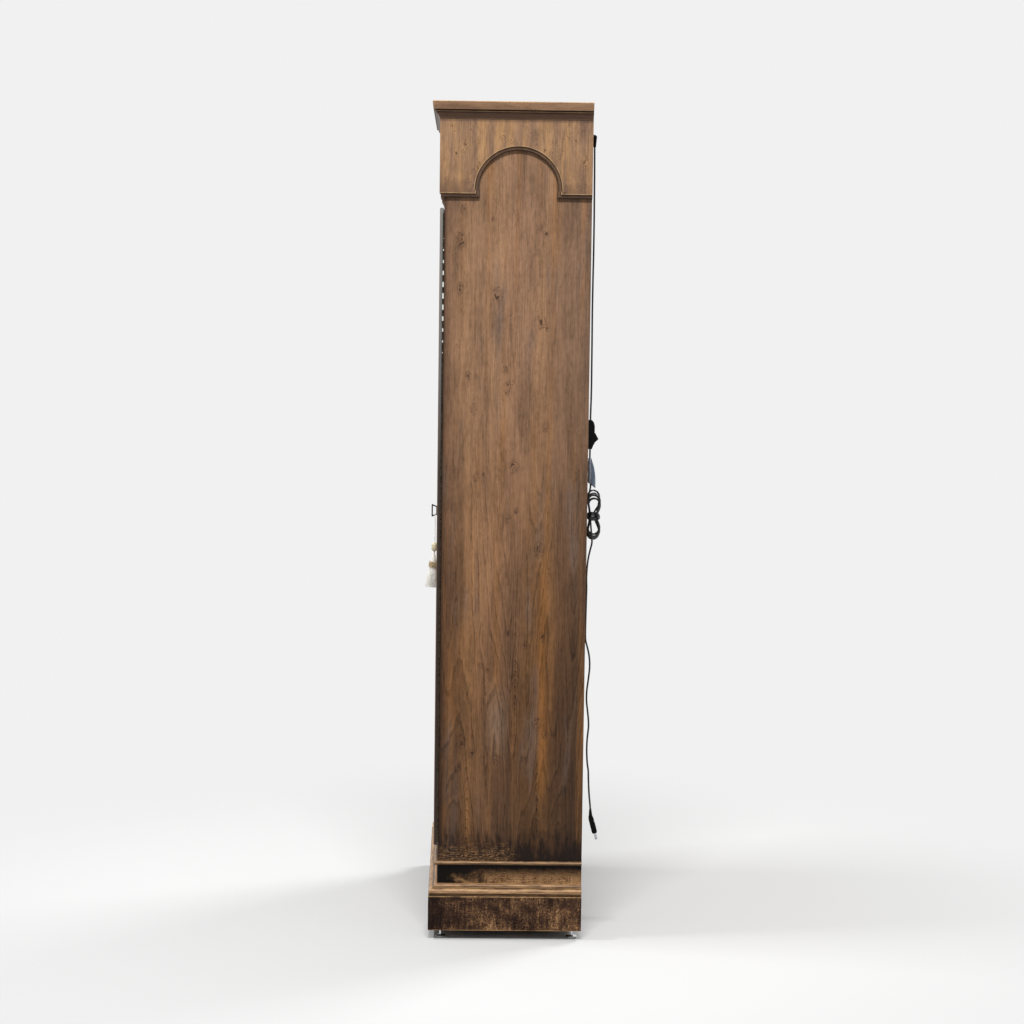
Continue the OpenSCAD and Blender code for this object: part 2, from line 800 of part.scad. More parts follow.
module side_nose() {
    translate([door_x1 - nose_r, y_door + nose_r, door_z0 - cut])
        difference() {
            translate([0, -nose_r - cut, 0])
                cube([nose_r + cut, nose_r + cut, door_z1 - door_z0 + 2 * cut]);
            translate([0, 0, -cut]) cylinder(r = nose_r, h = door_z1 - door_z0 + 4 * cut);
        }
}

module upright_sticking(x, way) {
    translate([x, y_door, glass_z0])
        difference() {
            translate([way > 0 ? 0 : -sticking_r, -cut, 0])
                cube([sticking_r, sticking_r + cut, glass_z1 - glass_z0]);
            translate([way * sticking_r, sticking_r, -cut])
                cylinder(r = sticking_r, h = glass_z1 - glass_z0 + 2 * cut);
        }
}

module level_sticking(z, way) {
    translate([glass_x0, y_door, z])
        difference() {
            translate([0, -cut, way > 0 ? 0 : -sticking_r])
                cube([glass_x1 - glass_x0, sticking_r + cut, sticking_r]);
            translate([-cut, sticking_r, way * sticking_r])
                rotate([0, 90, 0]) cylinder(r = sticking_r, h = glass_x1 - glass_x0 + 2 * cut);
        }
}

module glass_rebate() {
    block(glass_x0 - glass_rabbet, glass_x1 + glass_rabbet, y_door + glass_set, door_back + cut,
          glass_z0 - glass_rabbet, glass_z1 + glass_rabbet);
}

module hinge_stile() {
    difference() {
        intersection() {
            block(glass_x1, door_x1, y_door, door_back, door_z0, door_z1);
            nose_shape();
        }
        lip_cuts();
        side_nose();
        upright_sticking(glass_x1, 1);
        glass_rebate();
    }
}

module meeting_stile() {
    difference() {
        intersection() {
            block(door_x0, glass_x0, y_door, door_back, door_z0, door_z1);
            nose_shape();
        }
        lip_cuts();
        upright_sticking(glass_x0, -1);
        glass_rebate();
    }
}

module door_rails() {
    difference() {
        intersection() {
            union() {
                block(glass_x0, glass_x1, y_door, door_back, door_z0, glass_z0);
                block(glass_x0, glass_x1, y_door, door_back, glass_z1, door_z1);
            }
            nose_shape();
        }
        lip_cuts();
        level_sticking(glass_z0, -1);
        level_sticking(glass_z1, 1);
        glass_rebate();
    }
}

module door_glass() {
    block(glass_x0 - glass_rabbet + seat_gap, glass_x1 + glass_rabbet - seat_gap,
          glass_y, glass_y + glass_t,
          glass_z0 - glass_rabbet + seat_gap, glass_z1 + glass_rabbet - seat_gap);
}

module door_beads() {
    x0 = glass_x0 - glass_rabbet;
    x1 = glass_x1 + glass_rabbet;
    z0 = glass_z0 - glass_rabbet;
    z1 = glass_z1 + glass_rabbet;
    for (x = [x0, x1 - glass_rabbet])
        block(x, x + glass_rabbet, bead_y, door_back, z0, z1);
    for (z = [z0, z1 - glass_rabbet])
        block(x0 + glass_rabbet + hairline, x1 - glass_rabbet - hairline, bead_y, door_back,
              z, z + glass_rabbet);
}

module keyhole() {
    translate([key_x, y_door - cut, key_z])
        rotate([-90, 0, 0]) cylinder(r = shank_r + hole_gap, h = door_t);
    block(key_x - bit_t / 2 - hole_gap, key_x + bit_t / 2 + hole_gap, y_door - cut, lock_y + cut,
          key_z - bit_r - bit_room, key_z);
}

module right_door_hinge_stile() {
    color("#6b4b33") hinge_stile();
}

module right_door_meeting_stile() {
    color("#6b4b33")
        difference() {
            meeting_stile();
            keyhole();
            block(lock_x0, lock_x0 + lock_w, lock_y, door_back + cut, lock_z0, lock_z0 + lock_h);
            block(-cut, lock_x0 + cut, bolt_y - hole_gap, bolt_y + bolt_t + hole_gap,
                  bolt_z - hole_gap, bolt_z + bolt_h + hole_gap);
        }
}

module right_door_rails() {
    color("#6b4b33") door_rails();
}

module right_door_glass() {
    color("#cfe0e4", 0.35) door_glass();
}

module right_door_beads() {
    color("#5f432d") door_beads();
}

module left_door_hinge_stile() {
    color("#6b4b33") mirror([1, 0, 0]) hinge_stile();
}

module left_door_meeting_stile() {
    color("#6b4b33")
        difference() {
            mirror([1, 0, 0]) meeting_stile();
            block(-door_x0 - bolt_throw - 2, cut, bolt_y - hole_gap, bolt_y + bolt_t + hole_gap,
                  bolt_z - hole_gap, bolt_z + bolt_h + hole_gap);
        }
}

module left_door_rails() {
    color("#6b4b33") mirror([1, 0, 0]) door_rails();
}

module left_door_glass() {
    color("#cfe0e4", 0.35) mirror([1, 0, 0]) door_glass();
}

module left_door_beads() {
    color("#5f432d") mirror([1, 0, 0]) door_beads();
}

// Piano hinges, drawn for the right-hand door. Even knuckles are the frame's and odd ones the door's.
module knuckle_row(first, leaf_y) {
    for (i = [first:2:knuckles - 1])
        translate([0, 0, hinge_z0 + i * knuckle_l + knuckle_gap / 2]) {
            translate([hinge_x, hinge_y, 0]) cylinder(r = barrel_r, h = knuckle_l - knuckle_gap);
            translate([leaf_x0 + leaf_w - eps, leaf_y, 0])
                cube([hinge_x - leaf_x0 - leaf_w, leaf_t, knuckle_l - knuckle_gap]);
        }
}

module hinge_leaf(first, leaf_y) {
    difference() {
        union() {
            block(leaf_x0, leaf_x0 + leaf_w, leaf_y, leaf_y + leaf_t, hinge_z0, hinge_z0 + hinge_l);
            knuckle_row(first, leaf_y);
        }
        translate([hinge_x, hinge_y, hinge_z0 - cut]) cylinder(r = pin_r + run_gap, h = hinge_l + 2 * cut);
    }
}

module hinge_frame_leaves() {
    color("#b08d4f")
        for (side = [-1, 1])
            mirrored(side) hinge_leaf(0, y_front - leaf_t);
}

module right_hinge_leaf() {
    color("#b08d4f") hinge_leaf(1, lip_back);
}

module left_hinge_leaf() {
    color("#b08d4f") mirror([1, 0, 0]) hinge_leaf(1, lip_back);
}

module hinge_pins() {
    color("#9c9c9c")
        for (side = [-1, 1])
            mirrored(side)
                translate([hinge_x, hinge_y, hinge_z0 + 1]) cylinder(r = pin_r, h = hinge_l - 2);
}

// Catches: a magnet under the top rail meets a plate on each door
catch_w = 40;
catch_d = 13;
catch_plate_t = 1.5;
catch_plate_h = 10;
catch_x = glass_x0 + 10;

module catch_magnets() {
    color("#4c4c50")
        for (side = [-1, 1])
            mirrored(side)
                block(catch_x, catch_x + catch_w, door_back + catch_plate_t + hairline,
                      door_back + catch_plate_t + hairline + catch_d, open_z1 - catch_d, open_z1);
}

module catch_plate() {
    block(catch_x + 8, catch_x + catch_w - 8, door_back, door_back + catch_plate_t,
          open_z1 - fit_gap - catch_plate_h - 2, open_z1 - fit_gap - 2);
}

module right_catch_plate() {
    color("#c4c6c9") catch_plate();
}

module left_catch_plate() {
    color("#c4c6c9") mirror([1, 0, 0]) catch_plate();
}

// Lock and key
module lock_case() {
    color("#b59652")
        difference() {
            block(lock_x0 + 0.1, lock_x0 + lock_w - 0.1, lock_y, door_back, lock_z0 + 0.1, lock_z0 + lock_h - 0.1);
            translate([key_x, lock_y - cut, key_z])
                rotate([-90, 0, 0]) cylinder(r = shank_r + run_gap, h = lock_d + cut - 2);
            translate([key_x, lock_y + 2, key_z])
                rotate([-90, 0, 0]) cylinder(r = bit_r + bit_room, h = bit_h + 2 * bit_room);
            block(key_x - bit_t / 2 - hole_gap, key_x + bit_t / 2 + hole_gap, lock_y - cut, lock_y + 3,
                  key_z - bit_r - bit_room, key_z);
            block(lock_x0 - cut, bolt_x0 + bolt_l + 0.6, bolt_y - 0.1, bolt_y + bolt_t + 0.1,
                  bolt_z - 0.1, bolt_z + bolt_h + 0.1);
        }
}

module lock_bolt() {
    color("#c7a862") block(bolt_x0, bolt_x0 + bolt_l, bolt_y, bolt_y + bolt_t, bolt_z, bolt_z + bolt_h);
}

module escutcheon() {
    color("#b59652")
        difference() {
            translate([key_x, y_door, key_z])
                rotate([90, 0, 0])
                    linear_extrude(height = escutcheon_t)
                        union() {
                            for (z = [-escutcheon_r, escutcheon_r])
                                translate([0, z]) circle(r = escutcheon_r);
                            translate([-escutcheon_r, -escutcheon_r])
                                square([2 * escutcheon_r, 2 * escutcheon_r]);
                        }
            translate([key_x, y_door - escutcheon_t - cut, key_z])
                rotate([-90, 0, 0]) cylinder(r = shank_r + hole_gap, h = escutcheon_t + 2 * cut);
            block(key_x - bit_t / 2 - hole_gap, key_x + bit_t / 2 + hole_gap,
                  y_door - escutcheon_t - cut, y_door + cut, key_z - bit_r - bit_room, key_z);
        }
}

module bow_rod(y0, z0, y1, z1) {
    length = norm([y1 - y0, z1 - z0]);
    translate([0, y0, z0]) {
        rotate([-atan2(y1 - y0, z1 - z0), 0, 0]) cylinder(r = bow_wire_r, h = length, $fn = 24);
        sphere(r = bow_wire_r, $fn = 24);
    }
}

module key_bow() {
    bow_rod(bow_tip_y, -bow_tip_z, bow_tip_y, bow_tip_z);
    bow_rod(bow_tip_y, bow_tip_z, bow_near_y, bow_near_z);
    bow_rod(bow_near_y, bow_near_z, bow_near_y, -bow_near_z);
    bow_rod(bow_near_y, -bow_near_z, bow_tip_y, -bow_tip_z);
}

module key() {
    tip = lock_y + lock_d - 2.2;
    color("#2e2b29") {
        translate([key_x, 0, key_z]) key_bow();
        translate([key_x, bow_near_y, key_z])
            rotate([-90, 0, 0]) cylinder(r = shank_r, h = tip - bow_near_y);
        block(key_x - bit_t / 2, key_x + bit_t / 2, lock_y + 2 + bit_room, lock_y + 2 + bit_room + bit_h,
              key_z - bit_r, key_z);
    }
}

// Tassel: a corded loop, a knot, a head and ruche, and a stranded skirt, leaning off the door
module tassel() {
    top_y = tassel_y;
    loop_path = concat(
        [[-1.6, 0, knot_z - 4], [-2.4, 0, knot_z + 8], [-loop_bend, 0, knot_z + 24],
         [-loop_bend, 0, bow_low_z - 12]],
        [for (a = [180:-30:0]) [loop_bend * cos(a), 0, bow_low_z + loop_bend * sin(a)]],
        [[loop_bend, 0, bow_low_z - 12], [loop_bend, 0, knot_z + 24], [2.4, 0, knot_z + 8],
         [1.6, 0, knot_z - 4]]
    );
    color("#d9cfb4") {
        translate([key_x, top_y, 0]) swept_tube(loop_path, loop_r, 8, [0, 1, 0]);
        translate([key_x, top_y, knot_z])
            rotate([-tassel_lean, 0, 0])
                rotate_extrude($fn = 32)
                    polygon([[0, 0], [3.6, 0], [knot_r - 1.6, -2.5], [knot_r, -0.35 * knot_h],
                             [knot_r, -0.6 * knot_h], [knot_r - 1.6, -knot_h + 2.5], [3.4, -knot_h],
                             [2.8, -knot_h - 2.5], [3.4, -knot_h - 6],
                             [ruche_r - 3.5, -tassel_h + skirt_h + ruche_h + 1],
                             [ruche_r, -tassel_h + skirt_h + ruche_h - 4],
                             [ruche_r, -tassel_h + skirt_h + 3], [ruche_r - 2, -tassel_h + skirt_h],
                             [ruche_r - 0.5, -tassel_h + skirt_h - 12], [skirt_r - 1.5, -tassel_h + 10],
                             [skirt_r, -tassel_h], [0, -tassel_h]]);
    }
}

// Inside
module glass_shelves() {
    color("#cfe0e4", 0.4)
        for (i = [1:shelf_count])
            block(-shelf_w / 2, shelf_w / 2, shelf_y0, shelf_y1, shelf_z(i), shelf_z(i) + shelf_t);
}

module shelf_pins() {
    color("#c4c6c9")
        for (side = [-1, 1])
            mirrored(side)
                for (i = [1:shelf_count])
                    for (y = [shelf_y0 + shelf_pin_edge, shelf_y1 - shelf_pin_edge])
                        translate([inner_w - shelf_pin_l, y, shelf_z(i) - shelf_pin_r])
                            rotate([0, 90, 0]) cylinder(r = shelf_pin_r, h = shelf_pin_l + shelf_pin_in);
}

// Lamp
module lamp_housing() {
    color("#bfc2c6")
        translate([0, lamp_y, ceiling_z])
            rotate_extrude()
                polygon([[lamp_r + flange_w, -flange_t], [lamp_r + flange_w, 0], [lamp_r, 0],
                         [lamp_r, lamp_h], [0, lamp_h], [0, lamp_h - 26], [14, lamp_h - 26],
                         [14, lamp_h - lamp_wall], [lamp_r - lamp_wall, lamp_h - lamp_wall],
                         [lamp_r - lamp_wall, -flange_t]]);
}

module lamp_bulb() {
    color("#f3ead2")
        translate([0, lamp_y, ceiling_z + lamp_h - 26])
            rotate_extrude()
                polygon([[0, 0], [10, 0], [11, -4], [bulb_r * 0.8, -14], [bulb_r, -24],
                         [bulb_r * 0.9, -34], [bulb_r * 0.6, -42], [0, -46]]);
}

module lamp_lens() {
    color("#e9eef0", 0.5)
        translate([0, lamp_y, ceiling_z])
            cylinder(r = lamp_r - lamp_wall - seat_gap / 3, h = lens_t);
}

module lamp_lead() {
    color("#2b2b2b") swept_tube(lead_path, cord_r, 8, [0.5, -0.8, -0.33]);
}

// Cord
module cord_gland() {
    inner_y = lead_route[lead_pieces][1];
    back = drawn_at[1] - back_inset;
    color("#1d1d1f")
        translate(cord_shift) {
            translate([cord_x, back, gland_z]) rotate([-90, 0, 0]) cylinder(r = gland_r, h = 3);
            translate([cord_x, inner_y, gland_z])
                rotate([-90, 0, 0]) cylinder(r = neck_r, h = nozzle_y - inner_y);
            translate([cord_x, nozzle_y, gland_z]) sphere(r = neck_r);
            translate([cord_x, nozzle_y, nozzle_z])
                cylinder(r1 = cord_r + 1, r2 = neck_r, h = gland_z - nozzle_z);
        }
}

module cord_upper() {
    color("#1c1c1e") translate(cord_shift) swept_tube(upper_route, cord_r, 8);
}

module cord_middle() {
    color("#1c1c1e") translate(cord_shift) swept_tube(middle_route, cord_r, 8);
}

module cord_tail() {
    color("#1c1c1e") translate(cord_shift) swept_tube(tail_route, cord_r, 8);
}

rocker_y = 217.5;
rocker_z = 1261;
rocker_half = 13;
rocker_tilt = 8.5;
rocker_gap = 0.4;

module case_outline() {
    polygon([[203, case_z0 + 3], [205, case_z0], [214, case_z0], [217.5, case_z0 + 10],
             [220.5, case_z0 + 14], [220.5, case_z1 - 14], [218, case_z1 - 5], [214, case_z1],
             [205, case_z1], [203, case_z1 - 3]]);
}

module switch_case() {
    color("#121214")
        translate(cord_shift) difference() {
            translate([cord_x - case_w / 2, 0, 0])
                rotate([90, 0, 90]) linear_extrude(height = case_w) case_outline();
            block(cord_x - case_w / 2 + case_wall, cord_x + case_w / 2 - case_wall, rocker_y - 4.5,
                  rocker_y + 10, rocker_z - rocker_half - 2 * rocker_gap, rocker_z + rocker_half + 2 * rocker_gap);
        }
}

module switch_rocker() {
    peak = 12.3;
    end = 3;
    color("#1a1a1c")
        translate(cord_shift + [cord_x - case_w / 2 + case_wall + rocker_gap, rocker_y, rocker_z])
            rotate([-rocker_tilt, 0, 0])
                rotate([90, 0, 90])
                    linear_extrude(height = case_w - 2 * (case_wall + rocker_gap))
                        polygon([[-1, -rocker_half], [end, -rocker_half], [peak, -0.8], [peak, 0.8],
                                 [end, rocker_half], [-1, rocker_half], [-3, 4], [-3, -4]]);
}

module cord_sleeve() {
    color("#6d7a8c")
        translate(cord_shift + [cord_x - 9, 0, 0])
            rotate([90, 0, 90])
                linear_extrude(height = 18)
                    polygon([[205.5, sleeve_z1], [215, sleeve_z1], [221.5, sleeve_z1 - 20],
                             [223, sleeve_z0 + 22], [225, sleeve_z0], [208.5, sleeve_z0],
                             [205.5, sleeve_z0 + 20]]);
}

// The hank is one tube: it comes from the sleeve, makes its loops side by side along X, and leaves below
function hank_width(s) = hank_half_w * s * (1 - hank_waist * s * s) / 0.444;
hank_turn = 360 * hank_loops;
hank_path = concat(
    [[hank_x - 0.6, 213, sleeve_z0], [hank_x - 0.6, 213, sleeve_z0 - 5], [hank_x - 0.6, 211, 1125.5],
     [hank_x - 0.4, 207.8, 1119]],
    [for (i = [0:24 * hank_loops + 4])
        let (a = hank_start + i * 15)
        [hank_x + hank_step * i / 24, hank_y - hank_width(sin(a)), hank_z + hank_half_h * cos(a)]],
    [[340, 213.5, 1043], [340, 215.5, 1028], [340, 217, 1014], [340, 217.4, 1005.5], [340, 217.4, 1001]]
);
hank_gaps = [
    for (i = [0:len(hank_path) - 1])
        for (j = [i + 6:1:len(hank_path) - 1])
            norm(hank_path[i] - hank_path[j]) - cord_d
];
echo(least_gap_in_hank = min(hank_gaps));

module cord_hank() {
    color("#1c1c1e") translate(cord_shift) swept_tube(hank_path, cord_r, 6);
}

module hank_tie() {
    height = 13;
    wall = 1.6;
    corner = cord_r + seat_gap;
    first_x = hank_step * (90 - hank_start) / 360;
    half_x = hank_step * hank_loops / 2 + cord_r + seat_gap;
    half_y = hank_width(sqrt(1 - pow(height / 2 / hank_half_h, 2))) + cord_r + seat_gap;
    color("#161618")
        translate(cord_shift + [hank_x + first_x + hank_step * hank_loops / 2, hank_y, hank_z - height / 2])
            linear_extrude(height = height)
                difference() {
                    rounded_shape(half_x + wall, half_y + wall, corner + wall);
                    rounded_shape(half_x, half_y, corner);
                }
}

module rounded_shape(half_x, half_y, radius) {
    translate([-half_x + radius, -half_y]) square([2 * (half_x - radius), 2 * half_y]);
    translate([-half_x, -half_y + radius]) square([2 * half_x, 2 * (half_y - radius)]);
    for (x = [-half_x + radius, half_x - radius])
        for (y = [-half_y + radius, half_y - radius])
            translate([x, y]) circle(r = radius);
}

module at_plug(tilt) {
    translate(cord_shift + plug_at) rotate([tilt, 0, 0]) children();
}

module prong_blades(room) {
    for (x = [-6.35, 6.35])
        translate([x - prong_blade[0] / 2 - room, -prong_blade[1] / 2 - room, -plug_l - prong_blade[2]])
            cube(prong_blade + [2 * room, 2 * room, prong_in + room]);
}

module plug_body() {
    color("#17171a") {
        at_plug(plug_neck_tilt)
            translate([0, 0, -2]) cylinder(r1 = 5, r2 = cord_r + 0.5, h = plug_neck + 2);
        at_plug(plug_tilt)
            difference() {
                translate([-plug_w / 2, 0, -plug_l])
                    rotate([90, 0, 90])
                        linear_extrude(height = plug_w)
                            polygon([[-5, 0], [-6.8, 5], [-6.8, plug_l - 12], [-5.8, plug_l - 9],
                                     [-6.6, plug_l - 6], [-5, plug_l], [5, plug_l], [6.6, plug_l - 5],
                                     [6.6, plug_l - 8], [4.2, plug_l - 11], [6.8, plug_l - 15],
                                     [6.8, 5], [5, 0]]);
                prong_blades(hairline);
            }
    }
}

module plug_prongs() {
    color("#c9a860") at_plug(plug_tilt) prong_blades(0);
}

side_panel_right();
side_panel_left();
display_ceiling();
bottom_board();
back_panel();
top_rail();
bottom_rail();
crown_cap();
cornice_moulding();
frieze_front();
frieze_right();
frieze_left();
base_frame();
base_mouldings();
plinth_boards();
corner_blocks();
foot_sockets();
foot_front_right();
foot_front_left();
foot_back_right();
foot_back_left();
hinge_frame_leaves();
hinge_pins();
catch_magnets();
glass_shelves();
shelf_pins();
lamp_housing();
lamp_bulb();
lamp_lens();
lamp_lead();
right_door_hinge_stile();
right_door_meeting_stile();
right_door_rails();
right_door_glass();
right_door_beads();
right_hinge_leaf();
right_catch_plate();
left_door_hinge_stile();
left_door_meeting_stile();
left_door_rails();
left_door_glass();
left_door_beads();
left_hinge_leaf();
left_catch_plate();
lock_case();
lock_bolt();
escutcheon();
key();
tassel();
cord_gland();
cord_upper();
switch_case();
switch_rocker();
cord_middle();
cord_sleeve();
cord_hank();
hank_tie();
cord_tail();
plug_body();
plug_prongs();
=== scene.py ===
"""Looks of a tall display cabinet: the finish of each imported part, its power cord, its tassel and a studio.

Lengths are in metres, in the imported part's own frame: +Z up, doors at -Y, the cord at +Y.
"""
import math
import random

import bmesh
import bpy
from mathutils import Matrix, Vector


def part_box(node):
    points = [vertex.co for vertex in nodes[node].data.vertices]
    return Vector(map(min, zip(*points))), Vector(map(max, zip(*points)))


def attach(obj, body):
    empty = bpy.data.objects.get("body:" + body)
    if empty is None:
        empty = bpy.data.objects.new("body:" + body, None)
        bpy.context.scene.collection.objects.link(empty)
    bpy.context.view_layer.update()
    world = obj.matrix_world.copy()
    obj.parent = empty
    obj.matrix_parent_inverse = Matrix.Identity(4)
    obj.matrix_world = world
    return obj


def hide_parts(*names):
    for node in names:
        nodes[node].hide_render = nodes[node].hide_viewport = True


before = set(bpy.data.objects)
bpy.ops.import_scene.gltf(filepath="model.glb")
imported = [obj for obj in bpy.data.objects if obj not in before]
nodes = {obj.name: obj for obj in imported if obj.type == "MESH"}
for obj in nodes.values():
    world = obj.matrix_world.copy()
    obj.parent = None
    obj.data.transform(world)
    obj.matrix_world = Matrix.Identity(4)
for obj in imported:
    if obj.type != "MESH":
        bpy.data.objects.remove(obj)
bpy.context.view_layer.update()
scene = bpy.context.scene
MM = 0.001

# Camera, at the photograph's place: its right, up and back directions

CAMERA_PLACE = (6.2973, -0.1093, 1.6298)
CAMERA_RIGHT = (0.01991, 0.99971, 0.01321)
CAMERA_UP = (-0.09291, -0.01130, 0.99561)
CAMERA_BACK = (0.99547, -0.02105, 0.09266)
CAMERA_LENS = 84.375
SENSOR_WIDTH = 36.0


def add_camera():
    data = bpy.data.cameras.new("camera")
    data.lens = CAMERA_LENS
    data.sensor_width = SENSOR_WIDTH
    camera = bpy.data.objects.new("camera", data)
    scene.collection.objects.link(camera)
    turn = Matrix((CAMERA_RIGHT, CAMERA_UP, CAMERA_BACK)).transposed()
    camera.matrix_world = Matrix.Translation(CAMERA_PLACE) @ turn.to_4x4()
    scene.camera = camera


add_camera()

# Shapes: helpers for curves and meshes


def in_metres(points):
    return [Vector(p) * MM for p in points]


def smooth_line(points, step):
    """A Catmull-Rom line through the points, with a point about every step."""
    ends = [points[0] * 2 - points[1]] + points + [points[-1] * 2 - points[-2]]
    line = []
    for before, start, end, after in zip(ends, ends[1:], ends[2:], ends[3:]):
        count = max(1, round((end - start).length / step))
        for i in range(count):
            t = i / count
            line.append(0.5 * (2 * start + (end - before) * t
                               + (2 * before - 5 * start + 4 * end - after) * t * t
                               + (3 * start - before - 3 * end + after) * t ** 3))
    return line + [points[-1]]


def curve_piece(name, lines, radius, resolution=3):
    """Round cords along the lines, as one curve. Its points carry the radius, for its box to count it."""
    data = bpy.data.curves.new(name, "CURVE")
    data.dimensions = "3D"
    data.bevel_depth = 1.0
    data.bevel_resolution = resolution
    data.use_fill_caps = True
    for line in lines:
        spline = data.splines.new("POLY")
        spline.points.add(len(line) - 1)
        for point, place in zip(spline.points, line):
            point.co = (*place, 1.0)
            point.radius = radius
    piece = bpy.data.objects.new(name, data)
    scene.collection.objects.link(piece)
    return piece


def mesh_piece(name, points, faces, smooth=True):
    data = bpy.data.meshes.new(name)
    data.from_pydata([tuple(p) for p in points], [], faces)
    data.update()
    tidy = bmesh.new()
    tidy.from_mesh(data)
    bmesh.ops.recalc_face_normals(tidy, faces=tidy.faces)
    tidy.to_mesh(data)
    tidy.free()
    for face in data.polygons:
        face.use_smooth = smooth
    piece = bpy.data.objects.new(name, data)
    scene.collection.objects.link(piece)
    return piece


def loft(name, rings, caps=True):
    """A skin over rings that have the same number of points."""
    count = len(rings[0])
    points = [p for ring in rings for p in ring]
    faces = []
    for r in range(len(rings) - 1):
        for i in range(count):
            j = (i + 1) % count
            faces.append((r * count + i, r * count + j, (r + 1) * count + j, (r + 1) * count + i))
    if caps:
        faces.append(tuple(range(count)))
        faces.append(tuple((len(rings) - 1) * count + i for i in range(count)))
    return mesh_piece(name, points, faces)


# Power cord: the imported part's own route, in millimetres, with a fuller hank

CORD_DIAMETER = 4.5 * MM
UPPER_ROUTE = [
    (318, 209.5, 1980), (318, 209.6, 1970), (318, 209.8, 1950), (318.5, 210.2, 1920), (319, 210.4, 1885),
    (319.5, 210.7, 1845), (320, 211, 1800), (320, 211, 1755), (319.5, 211, 1710), (319, 210.6, 1665),
    (318.5, 210.4, 1620), (318, 210.3, 1575), (317.5, 210.6, 1530), (317, 210.9, 1485), (317, 211, 1440),
    (317, 211.2, 1400), (317.5, 211, 1365), (318, 210.4, 1335), (318, 210, 1315), (318, 210, 1306),
]
SWITCH_ROUTE = [(318, 210, 1282), (318, 210, 1258), (318, 210, 1234), (318, 210, 1222), (318, 210, 1211)]
SLEEVE_ROUTE = [(316.5, 211, 1192), (313.5, 212.6, 1166), (310.6, 213, 1146)]
HANK_START = [(310.4, 213, 1137), (310.2, 212.6, 1132), (309.6, 210.6, 1124), (309.3, 208.6, 1116),
              (309.2, 207.7, 1110), (309.2, 208.9, 1096)]
HANK_END = [(345.2, 214.2, 1036), (345.4, 215.6, 1024), (345.2, 217, 1013), (343.4, 217.4, 1004)]
TAIL_ROUTE = [
    (340.2, 216.6, 995), (339.4, 213.6, 983), (338, 209.2, 962), (336.5, 206.8, 940), (335, 205.6, 912),
    (333.5, 206.4, 886), (332, 206, 850), (330, 205.6, 808), (328.5, 205.4, 772), (328, 206.4, 752),
    (328, 210.8, 735), (328, 216, 711), (328, 217.4, 684), (327.5, 214.6, 653), (327, 211.4, 625),
    (326.5, 211, 600), (326, 213.6, 576), (326, 216.4, 552), (326, 217, 530), (326, 214.4, 502),
    (326, 213.6, 472), (326, 215.4, 440), (326, 218.2, 420), (326, 219, 400), (326, 220.2, 376),
    (326, 221.8, 355), (326, 223.4, 340), (326, 224.4, 330), (326, 224.95, 322),
]
HANK_MIDDLE = (220.5, 1066)
HANK_PLANES = [309.2, 314.4, 319.6, 324.8, 330.0, 335.2, 340.4, 345.2]
FOLD_RADIUS = 16.6
WAIST_HEIGHTS = (15, 5, -5, -15)
WAIST_PLACES = (-9.3, -8.7, -8.7, -9.3)
LAST_WAIST_PLACES = (-9.3, -8.6, -8.0, -7.4)
# Each loop: its lowest and highest point, its front run's height and place at the waist, and the shifts
# of its lower and upper fold
HANK_LOOPS = [
    (-61, 66, 0, 8.0, 0.0, 0.0), (-48, 54, 8, -1.0, 0.6, 0.5), (-57, 47, -6, 1.0, -0.2, 1.0),
    (-47, 60, -4, 5.5, 1.2, 0.2), (-54, 47, -4, 2.5, 0.8, 1.4), (-51, 57, 3, 5.0, 0.2, 0.6),
]
RELAXED_STEP = 3 * MM
RELAXED_PASSES = 16
ROUTE_STEP = 4 * MM


def fold(x, centre, first_angle):
    """The half round of a loop's end."""
    turns = [math.radians(first_angle + 26 * i) for i in range(7)]
    return [(x, centre[0] + FOLD_RADIUS * math.cos(a), centre[1] + FOLD_RADIUS * math.sin(a)) for a in turns]


def waist_run(start_x, end_x, places):
    """The run at the back of the waist, where the cord passes from one loop's plane to the next."""
    run = []
    for share, place, height in zip((0, 0.33, 0.67, 1), places, WAIST_HEIGHTS):
        smooth_share = share * share * (3 - 2 * share)
        run.append((start_x + (end_x - start_x) * smooth_share, place, height))
    return run


def hank_points():
    """Loops in planes beside each other, of different heights, so that they lie nested and crossed."""
    points = []
    for i, (low, high, front_height, front, low_shift, high_shift) in enumerate(HANK_LOOPS):
        x = HANK_PLANES[i + 1]
        under, over = low + FOLD_RADIUS, high - FOLD_RADIUS
        front_low, front_high = under + 10, over - 10
        reach_low, reach_high = low_shift + 0.9 * FOLD_RADIUS, high_shift + 0.9 * FOLD_RADIUS
        points += waist_run(HANK_PLANES[i], x, WAIST_PLACES)
        points += fold(x, (low_shift, under), 192)
        points += [(x, reach_low, front_low), (x, (reach_low + front) / 2, (front_low + front_height) / 2),
                   (x, front, front_height),
                   (x, (reach_high + front) / 2, (front_high + front_height) / 2),
                   (x, reach_high, front_high)]
        points += fold(x, (high_shift, over), 12)
    points += waist_run(HANK_PLANES[-2], HANK_PLANES[-1], LAST_WAIST_PLACES)
    return [(x, HANK_MIDDLE[0] + y, HANK_MIDDLE[1] + z) for x, y, z in points]


def evened(line, step):
    """The line with a point at every step along it."""
    points = [line[0]]
    left = step
    for start, end in zip(line, line[1:]):
        length = (end - start).length
        while left <= length:
            points.append(start.lerp(end, left / length))
            left += step
        left -= length
    return points + [line[-1]]


def relaxed(line, passes):
    """The line with its corners eased, as a springy cord lies, and its ends kept."""
    for _ in range(passes):
        inner = [(a + b * 2 + c) / 4 for a, b, c in zip(line, line[1:], line[2:])]
        line = [line[0]] + inner + [line[-1]]
    return line


